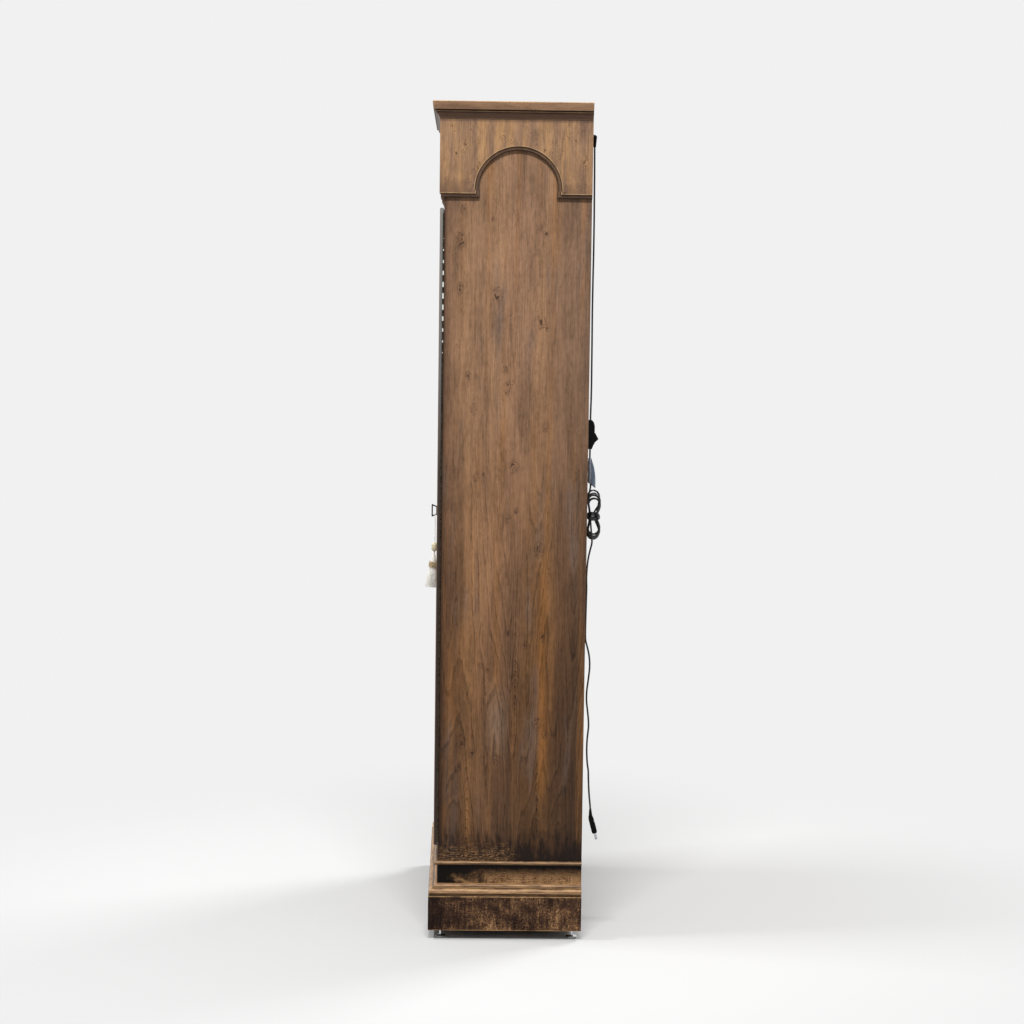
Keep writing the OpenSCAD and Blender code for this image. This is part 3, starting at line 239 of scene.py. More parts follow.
def add_power_cord():
    hank = in_metres(HANK_START + hank_points() + HANK_END)
    hank = relaxed(evened(hank, RELAXED_STEP), RELAXED_PASSES)
    route = in_metres(UPPER_ROUTE + SWITCH_ROUTE + SLEEVE_ROUTE) + hank + in_metres(TAIL_ROUTE)
    cord = curve_piece("power_cord", [smooth_line(route, ROUTE_STEP)], CORD_DIAMETER / 2, resolution=5)
    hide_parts("cord_upper", "cord_middle", "cord_hank", "cord_tail")
    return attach(cord, "cabinet")


power_cord = add_power_cord()

# Heights and widths that the finishes follow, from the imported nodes

FRIEZE_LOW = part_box("frieze_right")[0][2]
MOULDED_WIDTH = 9.5 * MM
FRIEZE_EDGE = FRIEZE_LOW + MOULDED_WIDTH
ARCH_RADIUS = 108 * MM
ARCH_LEG = 104.5 * MM
ARCH_SPRING = FRIEZE_LOW + 17 * MM
DOOR_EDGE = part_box("right_door_hinge_stile")[1][0]
ARCH_INSET = 4 * MM
DOOR_MIDDLE = (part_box("right_door_rails")[0][0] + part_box("right_door_rails")[1][0]) / 2 - ARCH_INSET
CORNICE_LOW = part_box("cornice_moulding")[0][2]
CROWN_UNDER, CROWN_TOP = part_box("crown_cap")[0][2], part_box("crown_cap")[1][2]
PLINTH_LOW, PLINTH_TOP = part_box("plinth_boards")[0][2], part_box("plinth_boards")[1][2]
BEAD_HEIGHT = 10 * MM
BEAD_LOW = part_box("base_mouldings")[1][2] - BEAD_HEIGHT

# Finishes: a class for what varies over a surface, one for a material, and a function for each material


def srgb(red, green, blue):
    """A colour as seen on a screen, from 0 to 255, as the linear colour that a shader takes."""
    parts = [c / 255 for c in (red, green, blue)]
    return tuple(c / 12.92 if c <= 0.04045 else ((c + 0.055) / 1.055) ** 2.4 for c in parts) + (1.0,)


def factors(red, green, blue):
    """Factors of a colour's parts, for a ramp that multiplies."""
    return red, green, blue, 1.0


class Field:
    """A number that varies over a surface: a node's output. Its sums and calls add the nodes for them."""

    def __init__(self, finish, socket):
        self.finish, self.socket = finish, socket

    def calc(self, operation, other=0.0):
        return self.finish.math(operation, self, other)

    def __add__(self, other):
        return self.calc("ADD", other)

    def __radd__(self, other):
        return self.finish.math("ADD", other, self)

    def __sub__(self, other):
        return self.calc("SUBTRACT", other)

    def __rsub__(self, other):
        return self.finish.math("SUBTRACT", other, self)

    def __mul__(self, other):
        return self.calc("MULTIPLY", other)

    def __abs__(self):
        return self.calc("ABSOLUTE")

    def span(self, low, high, to_low=0.0, to_high=1.0, kind="SMOOTHSTEP"):
        """The way from low to high, as a number from to_low to to_high."""
        return self.finish.field("MapRange", {"interpolation_type": kind}, Value=self, From_Min=low,
                                 From_Max=high, To_Min=to_low, To_Max=to_high)

    def hump(self, centre, half):
        """1 at the centre, and 0 from half away on."""
        return abs(self - centre).span(0.0, half, 1.0, 0.0)

    def ramp(self, low, high, stops, colour=srgb):
        """Colours on the way from low to high. A stop is a place from 0 to 1 and a colour's three parts."""
        node = self.finish.add("ValToRGB", Fac=self.span(low, high, kind="LINEAR"))
        line = node.color_ramp.elements
        while len(line) < len(stops):
            line.new(0.5)
        for element, (position, *parts) in zip(line, stops):
            element.position = position
            element.color = colour(*parts)
        return Field(self.finish, node.outputs[0])


class Finish:
    """A material with one Principled shader, and a colour that is laid on in coats."""

    def __init__(self, name, **sockets):
        self.material = bpy.data.materials.new(name)
        self.material.use_nodes = True
        self.tree = self.material.node_tree
        self.shader = self.tree.nodes["Principled BSDF"]
        self.place = self.field("TexCoord", output="Object")
        axes = self.add("SeparateXYZ", Vector=self.place)
        self.x, self.y, self.z = [Field(self, axis) for axis in axes.outputs]
        self.colour = None
        self.set(**sockets)

    def add(self, kind, settings=None, **inputs):
        node = self.tree.nodes.new("ShaderNode" + kind)
        for name, value in (settings or {}).items():
            setattr(node, name, value)
        for name, value in inputs.items():
            self.plug(node.inputs[name.replace("_", " ")], value)
        return node

    def field(self, kind, settings=None, output=0, **inputs):
        return Field(self, self.add(kind, settings, **inputs).outputs[output])

    def plug(self, socket, value):
        if isinstance(value, Field):
            value = value.socket
        if isinstance(value, bpy.types.NodeSocket):
            self.tree.links.new(value, socket)
        else:
            socket.default_value = value

    def set(self, **sockets):
        """Feed the shader's sockets, whose names have an underscore for each space."""
        for name, value in sockets.items():
            self.plug(self.shader.inputs[name.replace("_", " ")], value)

    def math(self, operation, first, second):
        node = self.add("Math", {"operation": operation})
        self.plug(node.inputs[0], first)
        self.plug(node.inputs[1], second)
        return Field(self, node.outputs[0])

    def point(self, x, y, z):
        return self.field("CombineXYZ", X=x, Y=y, Z=z)

    def noise(self, at, scale, detail, rough, bend=0.0):
        return self.field("TexNoise", output="Fac", Vector=at, Scale=scale, Detail=detail, Roughness=rough,
                          Distortion=bend)

    def grey(self, amount):
        return self.field("CombineColor", Red=amount, Green=amount, Blue=amount)

    def mix(self, share, first, second, blend="MIX"):
        node = self.add("Mix", {"data_type": "RGBA", "blend_type": blend})
        for i, value in ((0, share), (6, first), (7, second)):
            self.plug(node.inputs[i], value)
        return Field(self, node.outputs[2])

    def shaded(self, amount):
        """The colour, made lighter or darker by a factor."""
        return self.mix(1.0, self.colour, self.grey(amount), "MULTIPLY")

    def shade(self, amount):
        self.colour = self.shaded(amount)

    def coat(self, share, *colour):
        """Lay another colour over the present one, by a share from 0 to 1."""
        self.colour = self.mix(share, self.colour, srgb(*colour))

    def done(self, height, depth, strength):
        """Give the shader the colour and a relief."""
        bump = self.add("Bump", Height=height, Distance=depth, Strength=strength)
        self.set(Base_Color=self.colour, Normal=bump.outputs[0])
        return self

    def use(self, *names):
        for name in names:
            data = nodes[name].data
            data.materials.clear()
            data.materials.append(self.material)


def streaks(across, along, wide, tall, seed=0.0, detail=3, rough=0.55, bend=0.0):
    """Noise drawn out along the grain. wide and tall are its counts in a metre."""
    finish = across.finish
    return finish.noise(finish.point(across * wide, seed, along * tall), 1.0, detail, rough, bend)


def upright_streaks(finish, wide, tall, detail, rough, bend=0.0):
    """Noise drawn out upright, alike on all sides."""
    at = finish.point(finish.x * wide, finish.y * wide, finish.z * tall)
    return finish.noise(at, 1.0, detail, rough, bend)


def grain(across, along, seed=0.0, strength=1.0):
    """Wood grain: a tone near 1 that streaks along the board, and a height for the relief."""
    broad = streaks(across, along, 90, 2.4, seed)
    hair = streaks(across, along, 330, 14, seed + 2)
    mottle = streaks(across, along, 120, 55, seed + 4, 4, 0.65)
    pores = streaks(across, along, 420, 46, seed + 6, 2, 0.5)
    tone = broad.span(0.3, 0.7, -0.10, 0.10) + hair.span(0.3, 0.7, -0.13, 0.13)
    tone += mottle.span(0.3, 0.7, -0.10, 0.10)
    tone += pores.span(0.56, 0.70, 0.0, -0.24)
    return tone * strength + 1.0, hair + pores * -0.8


def ripples(across, along):
    """Fine waves across the grain, in patches, from -1 to 1."""
    bend = streaks(across, along, 24, 17, 0.0, 4, 0.62)
    wave = (along * 700 + bend * 96).calc("SINE")
    return wave * streaks(across, along, 20, 11, 3, 2).span(0.46, 0.62)


def thin_lines(field, count, dark=0.75):
    """Contours of a slow field: a dark line each, with a lighter one beside it, from -1 to 1."""
    line = (field * count).calc("SINE").span(dark, 0.98, 0.0, -1.0)
    beside = (field * count - 1.1).calc("SINE")
    return line + beside.span(0.55, 1.0, 0.0, 0.6)


def figure(across, along, wide=8.0, tall=0.9, count=70.0, seed=0.0):
    """The lines of flat-sawn wood."""
    slow = streaks(across, along, wide, tall, seed, 1.5, 0.45)
    shake = streaks(across, along, 55, 16, seed + 5, 3, 0.6)
    return thin_lines(slow + shake * 0.035, count)


CURL_HALF_WIDTH = 0.022


def squiggles(across, along, size, seed):
    """Short dark curls, like those of old insect marks, everywhere: a mask from 0 to 1."""
    finish = across.finish
    at = finish.point(across * size, seed, along * (size * 0.7))
    away = abs(finish.noise(at, 1.0, 1.5, 0.5, 1.4) - 0.5)
    broken = finish.noise(at, 1.9, 1, 0.5)
    return away.span(CURL_HALF_WIDTH, CURL_HALF_WIDTH * 0.35) * broken.span(0.45, 0.55)


def flecks(across, along, size=75.0, seed=0.0, rare=0.62):
    """Clusters of curls and dots, as a mask from 0 to 1."""
    cluster = streaks(across, along, 22, 12, seed + 5, 1)
    curls = squiggles(across, along, size, seed)
    dots = streaks(across, along, 260, 150, seed + 8, 1).span(0.68, 0.74)
    return curls.calc("MAXIMUM", dots) * cluster.span(rare, rare + 0.05)


def arch_distance(across, height, centre):
    """How far a spot lies outside the arch's edge and above the frieze's moulded edge, in metres."""
    side = abs(across - centre)
    rise = (height - ARCH_SPRING).calc("MAXIMUM", 0.0)
    from_centre = (side * side + rise * rise).calc("SQRT")
    legs = height.calc("LESS_THAN", ARCH_SPRING)
    outside = from_centre - (legs * (ARCH_LEG - ARCH_RADIUS) + ARCH_RADIUS)
    return outside.calc("MINIMUM", height - FRIEZE_EDGE)


WALNUT_DARK = (62, 44, 34)
# A dark colour for dirt, and for painted shade in hollows and grooves
GRIME_AND_SHADE = (36, 26, 21)


def board(name, across, along, light, mid, dark, rough, seed):
    """A stained board. across and along name the axes of its width and its grain."""
    finish = Finish(name, Roughness=rough, Specular_IOR_Level=0.3)
    axes = {"x": finish.x, "y": finish.y, "z": finish.z}
    side, way = axes[across], axes[along]
    band = streaks(side, way, 22, 1.4, seed, 2)
    finish.colour = band.ramp(0.28, 0.74, [(0.0, *mid), (0.45, *light), (1.0, *mid)])
    tone, height = grain(side, way, seed, 0.8)
    finish.shade(tone + figure(side, way, seed=seed + 1) * 0.12)
    finish.coat(flecks(side, way, seed=seed + 2) * 0.65, *dark)
    return finish.done(height, 0.15 * MM, 0.5)


# Side panels: the veneer that the photograph shows

# Each fleck: its place along Y, its height and its size, in millimetres
FLECK_PLACES = [
    (-112, 1822, 16), (-118, 1745, 24), (-40, 1800, 10), (78, 1778, 12), (92, 1764, 9), (-118, 1630, 17),
    (-26, 1612, 24), (84, 1546, 18), (98, 1535, 12), (-6, 1430, 13), (2, 1385, 20), (12, 1398, 10),
    (-96, 1415, 13), (-76, 1412, 8), (96, 1290, 15), (-82, 1332, 18), (-74, 1165, 14), (-56, 1170, 7),
    (18, 1190, 20), (6, 1062, 15), (26, 1080, 12), (84, 985, 22), (62, 905, 12), (52, 745, 13),
    (96, 765, 14), (-58, 690, 12), (-40, 680, 9), (84, 545, 20), (104, 520, 14), (-104, 500, 20),
    (-76, 470, 16), (-16, 455, 18), (30, 600, 14), (-112, 432, 14),
]
FRIEZE_FLECKS = [
    (-113, 1974, 18), (-132, 1955, 12), (-18, 2003, 15), (-79, 1925, 14), (184, 1938, 20), (85, 1966, 10),
    (41, 2027, 10), (-98, 1902, 12), (160, 1990, 9), (4, 1990, 10),
]
PANEL_MIDDLE = 0.0215
# Each arch of the figure: its place along Y, the height of its middle, and how steep its lines are
VENEER_ARCHES = [(0.088, 0.34, 380.0), (-0.088, 0.30, 300.0), (0.030, 0.66, 520.0)]
# The sheet's bands from front to back, as factors of its colour, above and below
BANDS_FRONT, BANDS_BACK = -0.135, 0.228
UPPER_BANDS = [
    (0.0, 0.62, 0.60, 0.62), (0.06, 0.78, 0.76, 0.76), (0.16, 1.02, 1.00, 0.94), (0.27, 0.94, 0.94, 0.93),
    (0.37, 1.14, 1.12, 1.06), (0.49, 1.02, 1.00, 1.02), (0.58, 0.92, 0.91, 0.92), (0.69, 1.12, 1.10, 1.04),
    (0.80, 0.84, 0.84, 0.86), (1.0, 0.66, 0.69, 0.76),
]
LOWER_BANDS = [
    (0.0, 0.54, 0.50, 0.50), (0.11, 0.70, 0.67, 0.64), (0.20, 1.42, 1.36, 1.18), (0.31, 1.40, 1.36, 1.32),
    (0.42, 0.96, 0.94, 0.95), (0.51, 0.86, 0.84, 0.84), (0.61, 0.88, 0.82, 0.68), (0.72, 0.92, 0.86, 0.72),
    (0.82, 0.60, 0.57, 0.56), (1.0, 0.42, 0.43, 0.46),
]
# The foot: the heights where its stain begins and is full, and how high and how far back it is rubbed
FOOT_CLEAR, FOOT_DARK = 0.46, 0.36
RUBBED_TOP, RUBBED_LOW = 0.285, 0.198
RUBBED_BACK, RUBBED_FULL = 0.095, 0.045


def placed_flecks(y, z, places):
    """Dark curls at these places, and a halo round each, as masks from 0 to 1."""
    halo = 0.0
    for across, height, size in places:
        side = (y - across * MM) * 1.2
        rise = (z - height * MM) * 0.75
        away = (side * side + rise * rise).calc("SQRT")
        halo = away.span(0.2 * size * MM, size * MM, 1.0, 0.0).calc("MAXIMUM", halo)
    bend = streaks(y, z, 75, 48, 2.0, 3, 0.6, 0.7)
    strokes = ((halo * 0.8 + bend * 1.5) * 24.0).calc("SINE").span(0.35, 0.9)
    strokes *= streaks(y, z, 140, 90, 4.0, 2, 0.5).span(0.42, 0.52)
    heart = (halo * 0.5 + bend).span(1.02, 1.10)
    return strokes.calc("MAXIMUM", heart) * halo.span(0.08, 0.45), halo


def veneer_arches(y, z):
    """Nested arches of flat-sawn figure in the lower half, as dark and light lines."""
    shake = streaks(y, z, 30, 6, 6.0, 3, 0.6)
    total = 0.0
    for centre, middle, steep in VENEER_ARCHES:
        side = y - centre
        lines = thin_lines(z + side * side * steep + shake * 0.12, 230.0, 0.5)
        total = total + lines * (y.hump(centre, 34 * MM) * z.hump(middle, 0.28))
    return total


def wavy_lines(along, z, seed):
    """Worn lines that run nearly level and wander, as a wave from -1 to 1 that is broken here and there."""
    swell = streaks(along, z, 34, 75, seed, 4, 0.65, 0.3)
    wave = (z * 1150 + swell * 30).calc("SINE")
    return wave * streaks(along, z, 150, 170, seed + 2, 3, 0.7).span(0.42, 0.58)


def side_veneer():
    finish = Finish("side_veneer", Roughness=0.52, Specular_IOR_Level=0.16)
    y, z = finish.y, finish.z
    # From the dark foot up to the pale top: mostly painted shade, as light from above falls off downwards,
    # and partly the wood's own darker lower half
    finish.colour = z.ramp(0.20, 1.86, [
        (0.0, 72, 50, 36), (0.06, 98, 71, 50), (0.28, 118, 86, 61), (0.52, 140, 105, 78),
        (0.75, 150, 115, 88), (1.0, 148, 114, 88)])
    # The wide bands of the sheet, which wander a little
    wander = streaks(y, z, 9, 1.6, 12.0, 2)
    place = y + wander * 0.05
    upper = place.ramp(BANDS_FRONT, BANDS_BACK, UPPER_BANDS, factors)
    lower = place.ramp(BANDS_FRONT, BANDS_BACK, LOWER_BANDS, factors)
    bands = finish.mix(z.span(1.35, 0.75), upper, lower)
    finish.colour = finish.mix(1.0, finish.colour, bands, "MULTIPLY")
    # Narrow warm and cool streaks, soft patches, and a warm stripe low down
    finish.coat(streaks(y, z, 30, 1.1, 2.0).span(0.50, 0.68, 0.0, 0.5), 150, 104, 62)
    finish.coat(streaks(y, z, 20, 3.2, 15.0, 2).span(0.54, 0.72, 0.0, 0.45), 112, 96, 88)
    finish.coat(y.hump(-22 * MM, 22 * MM) * z.hump(1.56, 0.12) * 0.4, 104, 90, 84)
    finish.coat(y.hump(-16 * MM, 40 * MM) * z.hump(0.55, 0.13) * 0.5, 150, 126, 106)
    stripe = (y + wander * 0.03).hump(112 * MM, 20 * MM) * (z.span(1.15, 0.8) * z.span(0.3, 0.42))
    finish.coat(stripe * 0.6, 148, 98, 50)
    # Grain, ripples and figure
    tone, relief = grain(y, z, 0.0, 1.1)
    tone += ripples(y, z) * z.span(0.9, 1.25) * 0.05
    tone += streaks(y, z, 26, 5, 17.0, 4, 0.6, 0.4).span(0.34, 0.66, -0.17, 0.15)
    lines = figure(y, z, wide=9.0, tall=0.7, count=150.0, seed=1.5)
    tone += lines * z.span(1.45, 0.75, 0.07, 0.27)
    tone += veneer_arches(y, z) * 0.40
    finish.shade(tone)
    # A shadowy halo and dark curls at each fleck, and small ones everywhere
    curls, halo = placed_flecks(y, z, FLECK_PLACES)
    finish.coat(halo * 0.16, 96, 66, 52)
    finish.coat(curls * 0.8, 50, 34, 28)
    finish.coat(flecks(y, z, 95.0, 8.0, 0.60) * 0.5, 66, 46, 36)
    # The foot: blotched nearly black, and rubbed pale just above the bead, but not at the back
    blotch = streaks(y, z, 75, 20, 9.0, 6, 0.72)
    finish.coat((z + blotch * 0.34).span(FOOT_CLEAR, FOOT_DARK) * 0.92, 22, 13, 9)
    patches = streaks(y, z, 34, 60, 6.0, 3, 0.6)
    ragged = streaks(y, z, 60, 90, 8.0, 5, 0.7)
    near_bead = z.span(RUBBED_TOP, RUBBED_LOW) + (ragged - 0.5) * 2.4
    worn = wavy_lines(y, z, 3.0).span(-0.3, 0.8) * near_bead.span(0.45, 1.0)
    worn *= (y + patches * 0.09).span(RUBBED_BACK, RUBBED_FULL)
    finish.coat(worn * 0.8, 166, 126, 88)
    # Dirt against the front edge
    finish.coat(y.span(-0.149, -0.158) * 0.55, *GRIME_AND_SHADE)
    return finish.done(relief, 0.12 * MM, 0.6)


def frieze_wood(name, on_side):
    """A frieze board: streaked and rubbed; along its moulded edge a light arris, partly rubbed and partly
    painted highlight, and grooves of painted shade; and a painted shadow under the cornice.
    """
    finish = Finish(name, Roughness=0.48, Specular_IOR_Level=0.25)
    y, z, way = finish.y, finish.z, finish.x + finish.y
    finish.colour = streaks(way, z, 26, 2.6, 5.0).ramp(0.32, 0.68, [
        (0.0, 120, 92, 74), (0.35, 152, 118, 90), (0.7, 172, 132, 92), (1.0, 138, 108, 86)])
    tone, relief = grain(way, z, 2.0)
    finish.shade(tone + figure(way, z, wide=12.0, tall=2.0, count=60.0, seed=4.0) * 0.12)
    dirt = streaks(way, z, 14, 12, 1.0, 4, 0.65)
    finish.coat(z.span(1.98, 1.85) * dirt.span(0.34, 0.58) * 0.62, 88, 64, 54)
    # Painted shadow of the crown's overhang: a dark band along the top of the frieze
    finish.coat(z.span(CORNICE_LOW - 9 * MM, CORNICE_LOW - 4 * MM) * 0.5, 72, 54, 45)
    marks = flecks(way, z, 110.0, 3.0, 0.52)
    if on_side:
        curls, halo = placed_flecks(y, z, FRIEZE_FLECKS)
        finish.coat(halo * 0.35, 186, 142, 96)
        marks = marks.calc("MAXIMUM", curls)
    finish.coat(marks * 0.75, 58, 40, 32)
    out = arch_distance(y, z, PANEL_MIDDLE) if on_side else arch_distance(abs(finish.x), z, DOOR_MIDDLE)
    finish.coat(out.span(0.2 * MM, -0.2 * MM) * 0.7, 84, 62, 47)
    # Painted shade in the moulded edge's quirk and along its inner edge, where shadows fall
    groove_shade = out.hump(-1.4 * MM, 1.7 * MM).calc("MAXIMUM", out.hump(-9.2 * MM, 1.9 * MM))
    finish.coat(groove_shade * 0.85, *GRIME_AND_SHADE)
    # The arris: a light line, partly rubbed wear and partly painted highlight
    rub_and_highlight = streaks(way, z, 60, 60, 2.0, 2, 0.5)
    finish.coat(out.hump(0.7 * MM, 1.6 * MM) * rub_and_highlight.span(0.3, 0.55, 0.35, 1.0) * 0.75, 206, 168, 122)
    return finish.done(relief, 0.12 * MM, 0.5)


def edge_lines(run, shade_places, wear_and_highlight_places, half=1.4 * MM):
    """Painted shade in the hollows of a moulding, and light lines on its arrises that are partly rubbed wear
    and partly painted highlight, at these heights.
    """
    finish, z = run.finish, run.finish.z
    rub_and_highlight = streaks(run, z, 34, 300, 5.0, 4, 0.65)
    for place in shade_places:
        finish.coat(z.hump(place, half * 1.2) * 0.9, *GRIME_AND_SHADE)
    for place in wear_and_highlight_places:
        finish.coat(z.hump(place, half) * rub_and_highlight.span(0.36, 0.58, 0.1, 0.85), 206, 164, 114)


def door_stile_wood():
    """Door uprights: walnut in front, and an outer edge that is dark low down and carries a painted
    bluish-white reflection in its upper part.
    """
    finish = board("door_stile_wood", "x", "z", DOOR_LIGHT, DOOR_MID, WALNUT_DARK, 0.4, 21.0)
    side = abs(finish.x).span(DOOR_EDGE - 1.5 * MM, DOOR_EDGE - 0.5 * MM)
    # The outer edge: dark below, and a painted bluish-white reflection above
    height = finish.z + streaks(finish.y, finish.z, 60, 5.0, 3.0) * 0.2
    edge = height.ramp(0.9, 1.95, [
        (0.0, 50, 37, 29), (0.35, 62, 52, 46), (0.6, 110, 109, 108), (1.0, 134, 132, 127)])
    finish.set(Base_Color=finish.mix(side, finish.colour, edge))
    return finish


def rail_wood():
    """The rails over and under the doors: as the sides, darker towards the bottom, mostly as painted shade of
    the light from above.
    """
    finish = board("rail_wood", "z", "x", (150, 114, 86), (124, 93, 70), WALNUT_DARK, 0.5, 27.0)
    finish.set(Base_Color=finish.shaded(finish.z.span(0.2, 1.8, 0.36, 0.92)))
    return finish


def moulding_wood():
    """The crown's moulding: darker than the boards, with the grain along the run."""
    finish = Finish("moulding_wood", Roughness=0.46, Specular_IOR_Level=0.25)
    run = finish.x + finish.y
    tone, relief = grain(finish.z, run, 11.0, 0.8)
    finish.colour = srgb(112, 84, 66)
    finish.shade(tone)
    # Painted shade in the quirks above and below the fillet under the cap, and a light line on the fillet,
    # partly rubbed and partly painted highlight
    edge_lines(run, [CROWN_UNDER, CROWN_UNDER - 6.8 * MM], [CROWN_UNDER - 3.4 * MM])
    return finish.done(relief, 0.12 * MM, 0.5)


def cap_wood():
    """The crown's cap: its grain runs along its edges, and from side to side on its top, greyed with dust and
    darkened as painted shade against the strong light that falls on it.
    """
    finish = Finish("cap_wood", Roughness=0.5, Specular_IOR_Level=0.25)
    on_top = finish.z.span(CROWN_TOP - 0.4 * MM, CROWN_TOP - 0.1 * MM)
    depth = finish.y * on_top
    across = finish.z + depth
    run = finish.x + finish.y - depth
    finish.colour = streaks(across, run, 40, 5.0, 13.0).ramp(0.3, 0.7, [
        (0.0, 122, 92, 70), (0.5, 150, 116, 88), (1.0, 168, 130, 92)])
    tone, relief = grain(across, run, 13.0)
    finish.shade(tone)
    spots = streaks(run, across, 300, 180, 3.0, 2).span(0.60, 0.66)
    where = streaks(run, across, 9, 9, 5.0, 1).span(0.38, 0.52)
    finish.coat(spots * where * 0.75, 66, 48, 38)
    # The top: grey dust, over the wood darkened as painted shade against the light from above
    dust = finish.noise(finish.place, 7.0, 4, 0.65).span(0.35, 0.7, 0.25, 0.6)
    dusty_and_shaded = finish.mix(dust, finish.shaded(0.62), srgb(120, 108, 94))
    finish.colour = finish.mix(on_top, finish.colour, dusty_and_shaded)
    # Painted shade along the cap's lower edge, and a light line on its top arris, partly rubbed and partly
    # painted highlight
    edge_lines(run, [CROWN_UNDER], [CROWN_TOP - 0.8 * MM], 1.0 * MM)
    return finish.done(relief, 0.12 * MM, 0.5)


RECESS_LOW, RECESS_TOP, RECESS_BLUR = 0.136, 0.1875, 0.0005


def base_wood():
    """The base: stained nearly black, and worn back to gold where feet and brooms reach it."""
    finish = Finish("base_wood", Roughness=0.5, Specular_IOR_Level=0.10)
    run, z = finish.x + finish.y, finish.z
    tone, relief = grain(z, run, 6.0, 0.9)
    patch = streaks(run, z, 15, 24, 7.0, 6, 0.68, 0.5)
    drips = streaks(run, z, 85, 16, 2.0, 4, 0.65)
    fine = streaks(run, z, 260, 200, 4.0, 4, 0.7)
    from_corner = finish.y.calc("MAXIMUM", 0.20 - abs(finish.x))
    wear = patch * 0.32 + drips * 0.30 + fine * 0.38 + from_corner.span(-0.10, -0.17, 0.0, -0.08)
    plinth = wear.ramp(0.40, 0.60, [
        (0.0, 28, 17, 13), (0.30, 54, 36, 27), (0.52, 84, 60, 44), (0.74, 120, 88, 61),
        (1.0, 186, 144, 102)])
    # The recessed board above the plinth: dark in front and along its top, gold low down behind
    back = (from_corner + patch * 0.30).span(0.03, 0.13)
    low = (z + wear * 0.10).span(0.232, 0.196)
    bright = (wear + wavy_lines(run, z, 8.0) * 0.05).ramp(0.41, 0.58, [
        (0.0, 84, 58, 40), (0.5, 150, 112, 77), (1.0, 200, 156, 110)])
    recess = finish.mix(back * low, srgb(13, 8, 6), bright)
    in_recess = z.span(RECESS_LOW, RECESS_LOW + RECESS_BLUR) * z.span(RECESS_TOP, RECESS_TOP - RECESS_BLUR)
    finish.colour = finish.mix(in_recess, plinth, recess)
    finish.shade(tone)
    # Light lines on the plinth's top and bottom arrises, partly rubbed and partly painted highlight
    edge_lines(run, [], [PLINTH_TOP - 1.0 * MM, PLINTH_LOW + 1.0 * MM])
    return finish.done(relief + patch, 0.25 * MM, 0.5)


def worn_moulding():
    """The base's mouldings: golden where they are rubbed, with painted shade in their hollows and light lines
    on their arrises, partly rubbed and partly painted highlight.
    """
    finish = Finish("worn_moulding", Roughness=0.44, Specular_IOR_Level=0.3)
    run, z = finish.x + finish.y, finish.z
    tone, relief = grain(z, run, 9.0, 0.7)
    finish.colour = streaks(run, z, 24, 160, 1.0, 5, 0.65).ramp(0.32, 0.62, [
        (0.0, 86, 60, 41), (0.4, 132, 98, 68), (1.0, 184, 144, 100)])
    finish.shade(tone)
    finish.shade(z.span(BEAD_LOW - MM, BEAD_LOW, 1.0, 0.60))
    # Heights of painted shade in the hollows, and of light lines on the arrises, partly rubbed and partly
    # painted highlight
    dark = [PLINTH_TOP + rise * MM for rise in (4, 19.3, 22)] + [BEAD_LOW + 0.6 * MM]
    light = [PLINTH_TOP + rise * MM for rise in (8.6, 15, 20.8, 28)] + [BEAD_LOW + 7.5 * MM]
    edge_lines(run, dark, light, 1.3 * MM)
    return finish.done(relief, 0.15 * MM, 0.5)


def glass(name, tint, roughness=0.02):
    finish = Finish(name, Base_Color=tint, Transmission_Weight=1.0, IOR=1.45)
    dust = finish.noise(finish.place, 35.0, 3, 0.6)
    finish.set(Roughness=dust.span(0.35, 0.75, roughness, roughness + 0.05))
    return finish


def metal(name, colour, tarnish, rough):
    """A metal with soft stains and fine scratches."""
    finish = Finish(name, Metallic=1.0)
    stain = finish.noise(finish.place, 160.0, 4, 0.6)
    scratch = upright_streaks(finish, 900, 90, 2, 0.5)
    finish.colour = finish.mix(stain.span(0.4, 0.68), srgb(*colour), srgb(*tarnish))
    finish.set(Roughness=stain.span(0.3, 0.7, rough, rough + 0.16) + scratch.span(0.4, 0.6, -0.03, 0.05))
    return finish.done(scratch, 0.02 * MM, 0.4)


KNUCKLE_PITCH = 28 * MM
PIN_RADIUS = 1.2 * MM
PINS_LOW, PINS_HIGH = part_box("hinge_pins")
PIN_X = PINS_HIGH[0] - PIN_RADIUS
PIN_Y = (PINS_LOW[1] + PINS_HIGH[1]) / 2
# Height where the painted highlights on the knuckles are strongest, and how far up and down they reach
GLINT_MIDDLE, GLINT_REACH = 1.635, 0.21


def hinge_metal():
    """The piano hinges: nearly black, with a painted highlight, a bright dash, on each knuckle of one
    stretch.
    """
    finish = metal("hinge_metal", (70, 58, 46), (36, 30, 26), 0.34)
    patch = finish.noise(finish.point(0.0, 0.0, finish.z * 60), 1.0, 2, 0.6)
    level = (finish.z + patch * 0.06).hump(GLINT_MIDDLE, GLINT_REACH)
    turn = (finish.z * (1 / KNUCKLE_PITCH)).calc("FRACT")
    from_middle = abs(turn - 0.5) * KNUCKLE_PITCH
    half_long = level * (8.0 * MM) - 1.0 * MM
    from_pin = abs(finish.y - PIN_Y)
    half_wide = level * (1.7 * MM) + 0.4 * MM
    # bright: the painted highlight on each knuckle, longer and wider in the middle of the stretch
    bright = (from_middle - half_long).span(-1.0 * MM, 0.5 * MM, 1.0, 0.0)
    bright *= (from_pin - half_wide).span(-0.4 * MM, 0.3 * MM, 1.0, 0.0)
    bright *= abs(finish.x).span(PIN_X + 0.5 * MM, PIN_X + PIN_RADIUS)
    finish.set(Base_Color=finish.mix(bright, finish.colour, srgb(232, 232, 226)))
    return finish


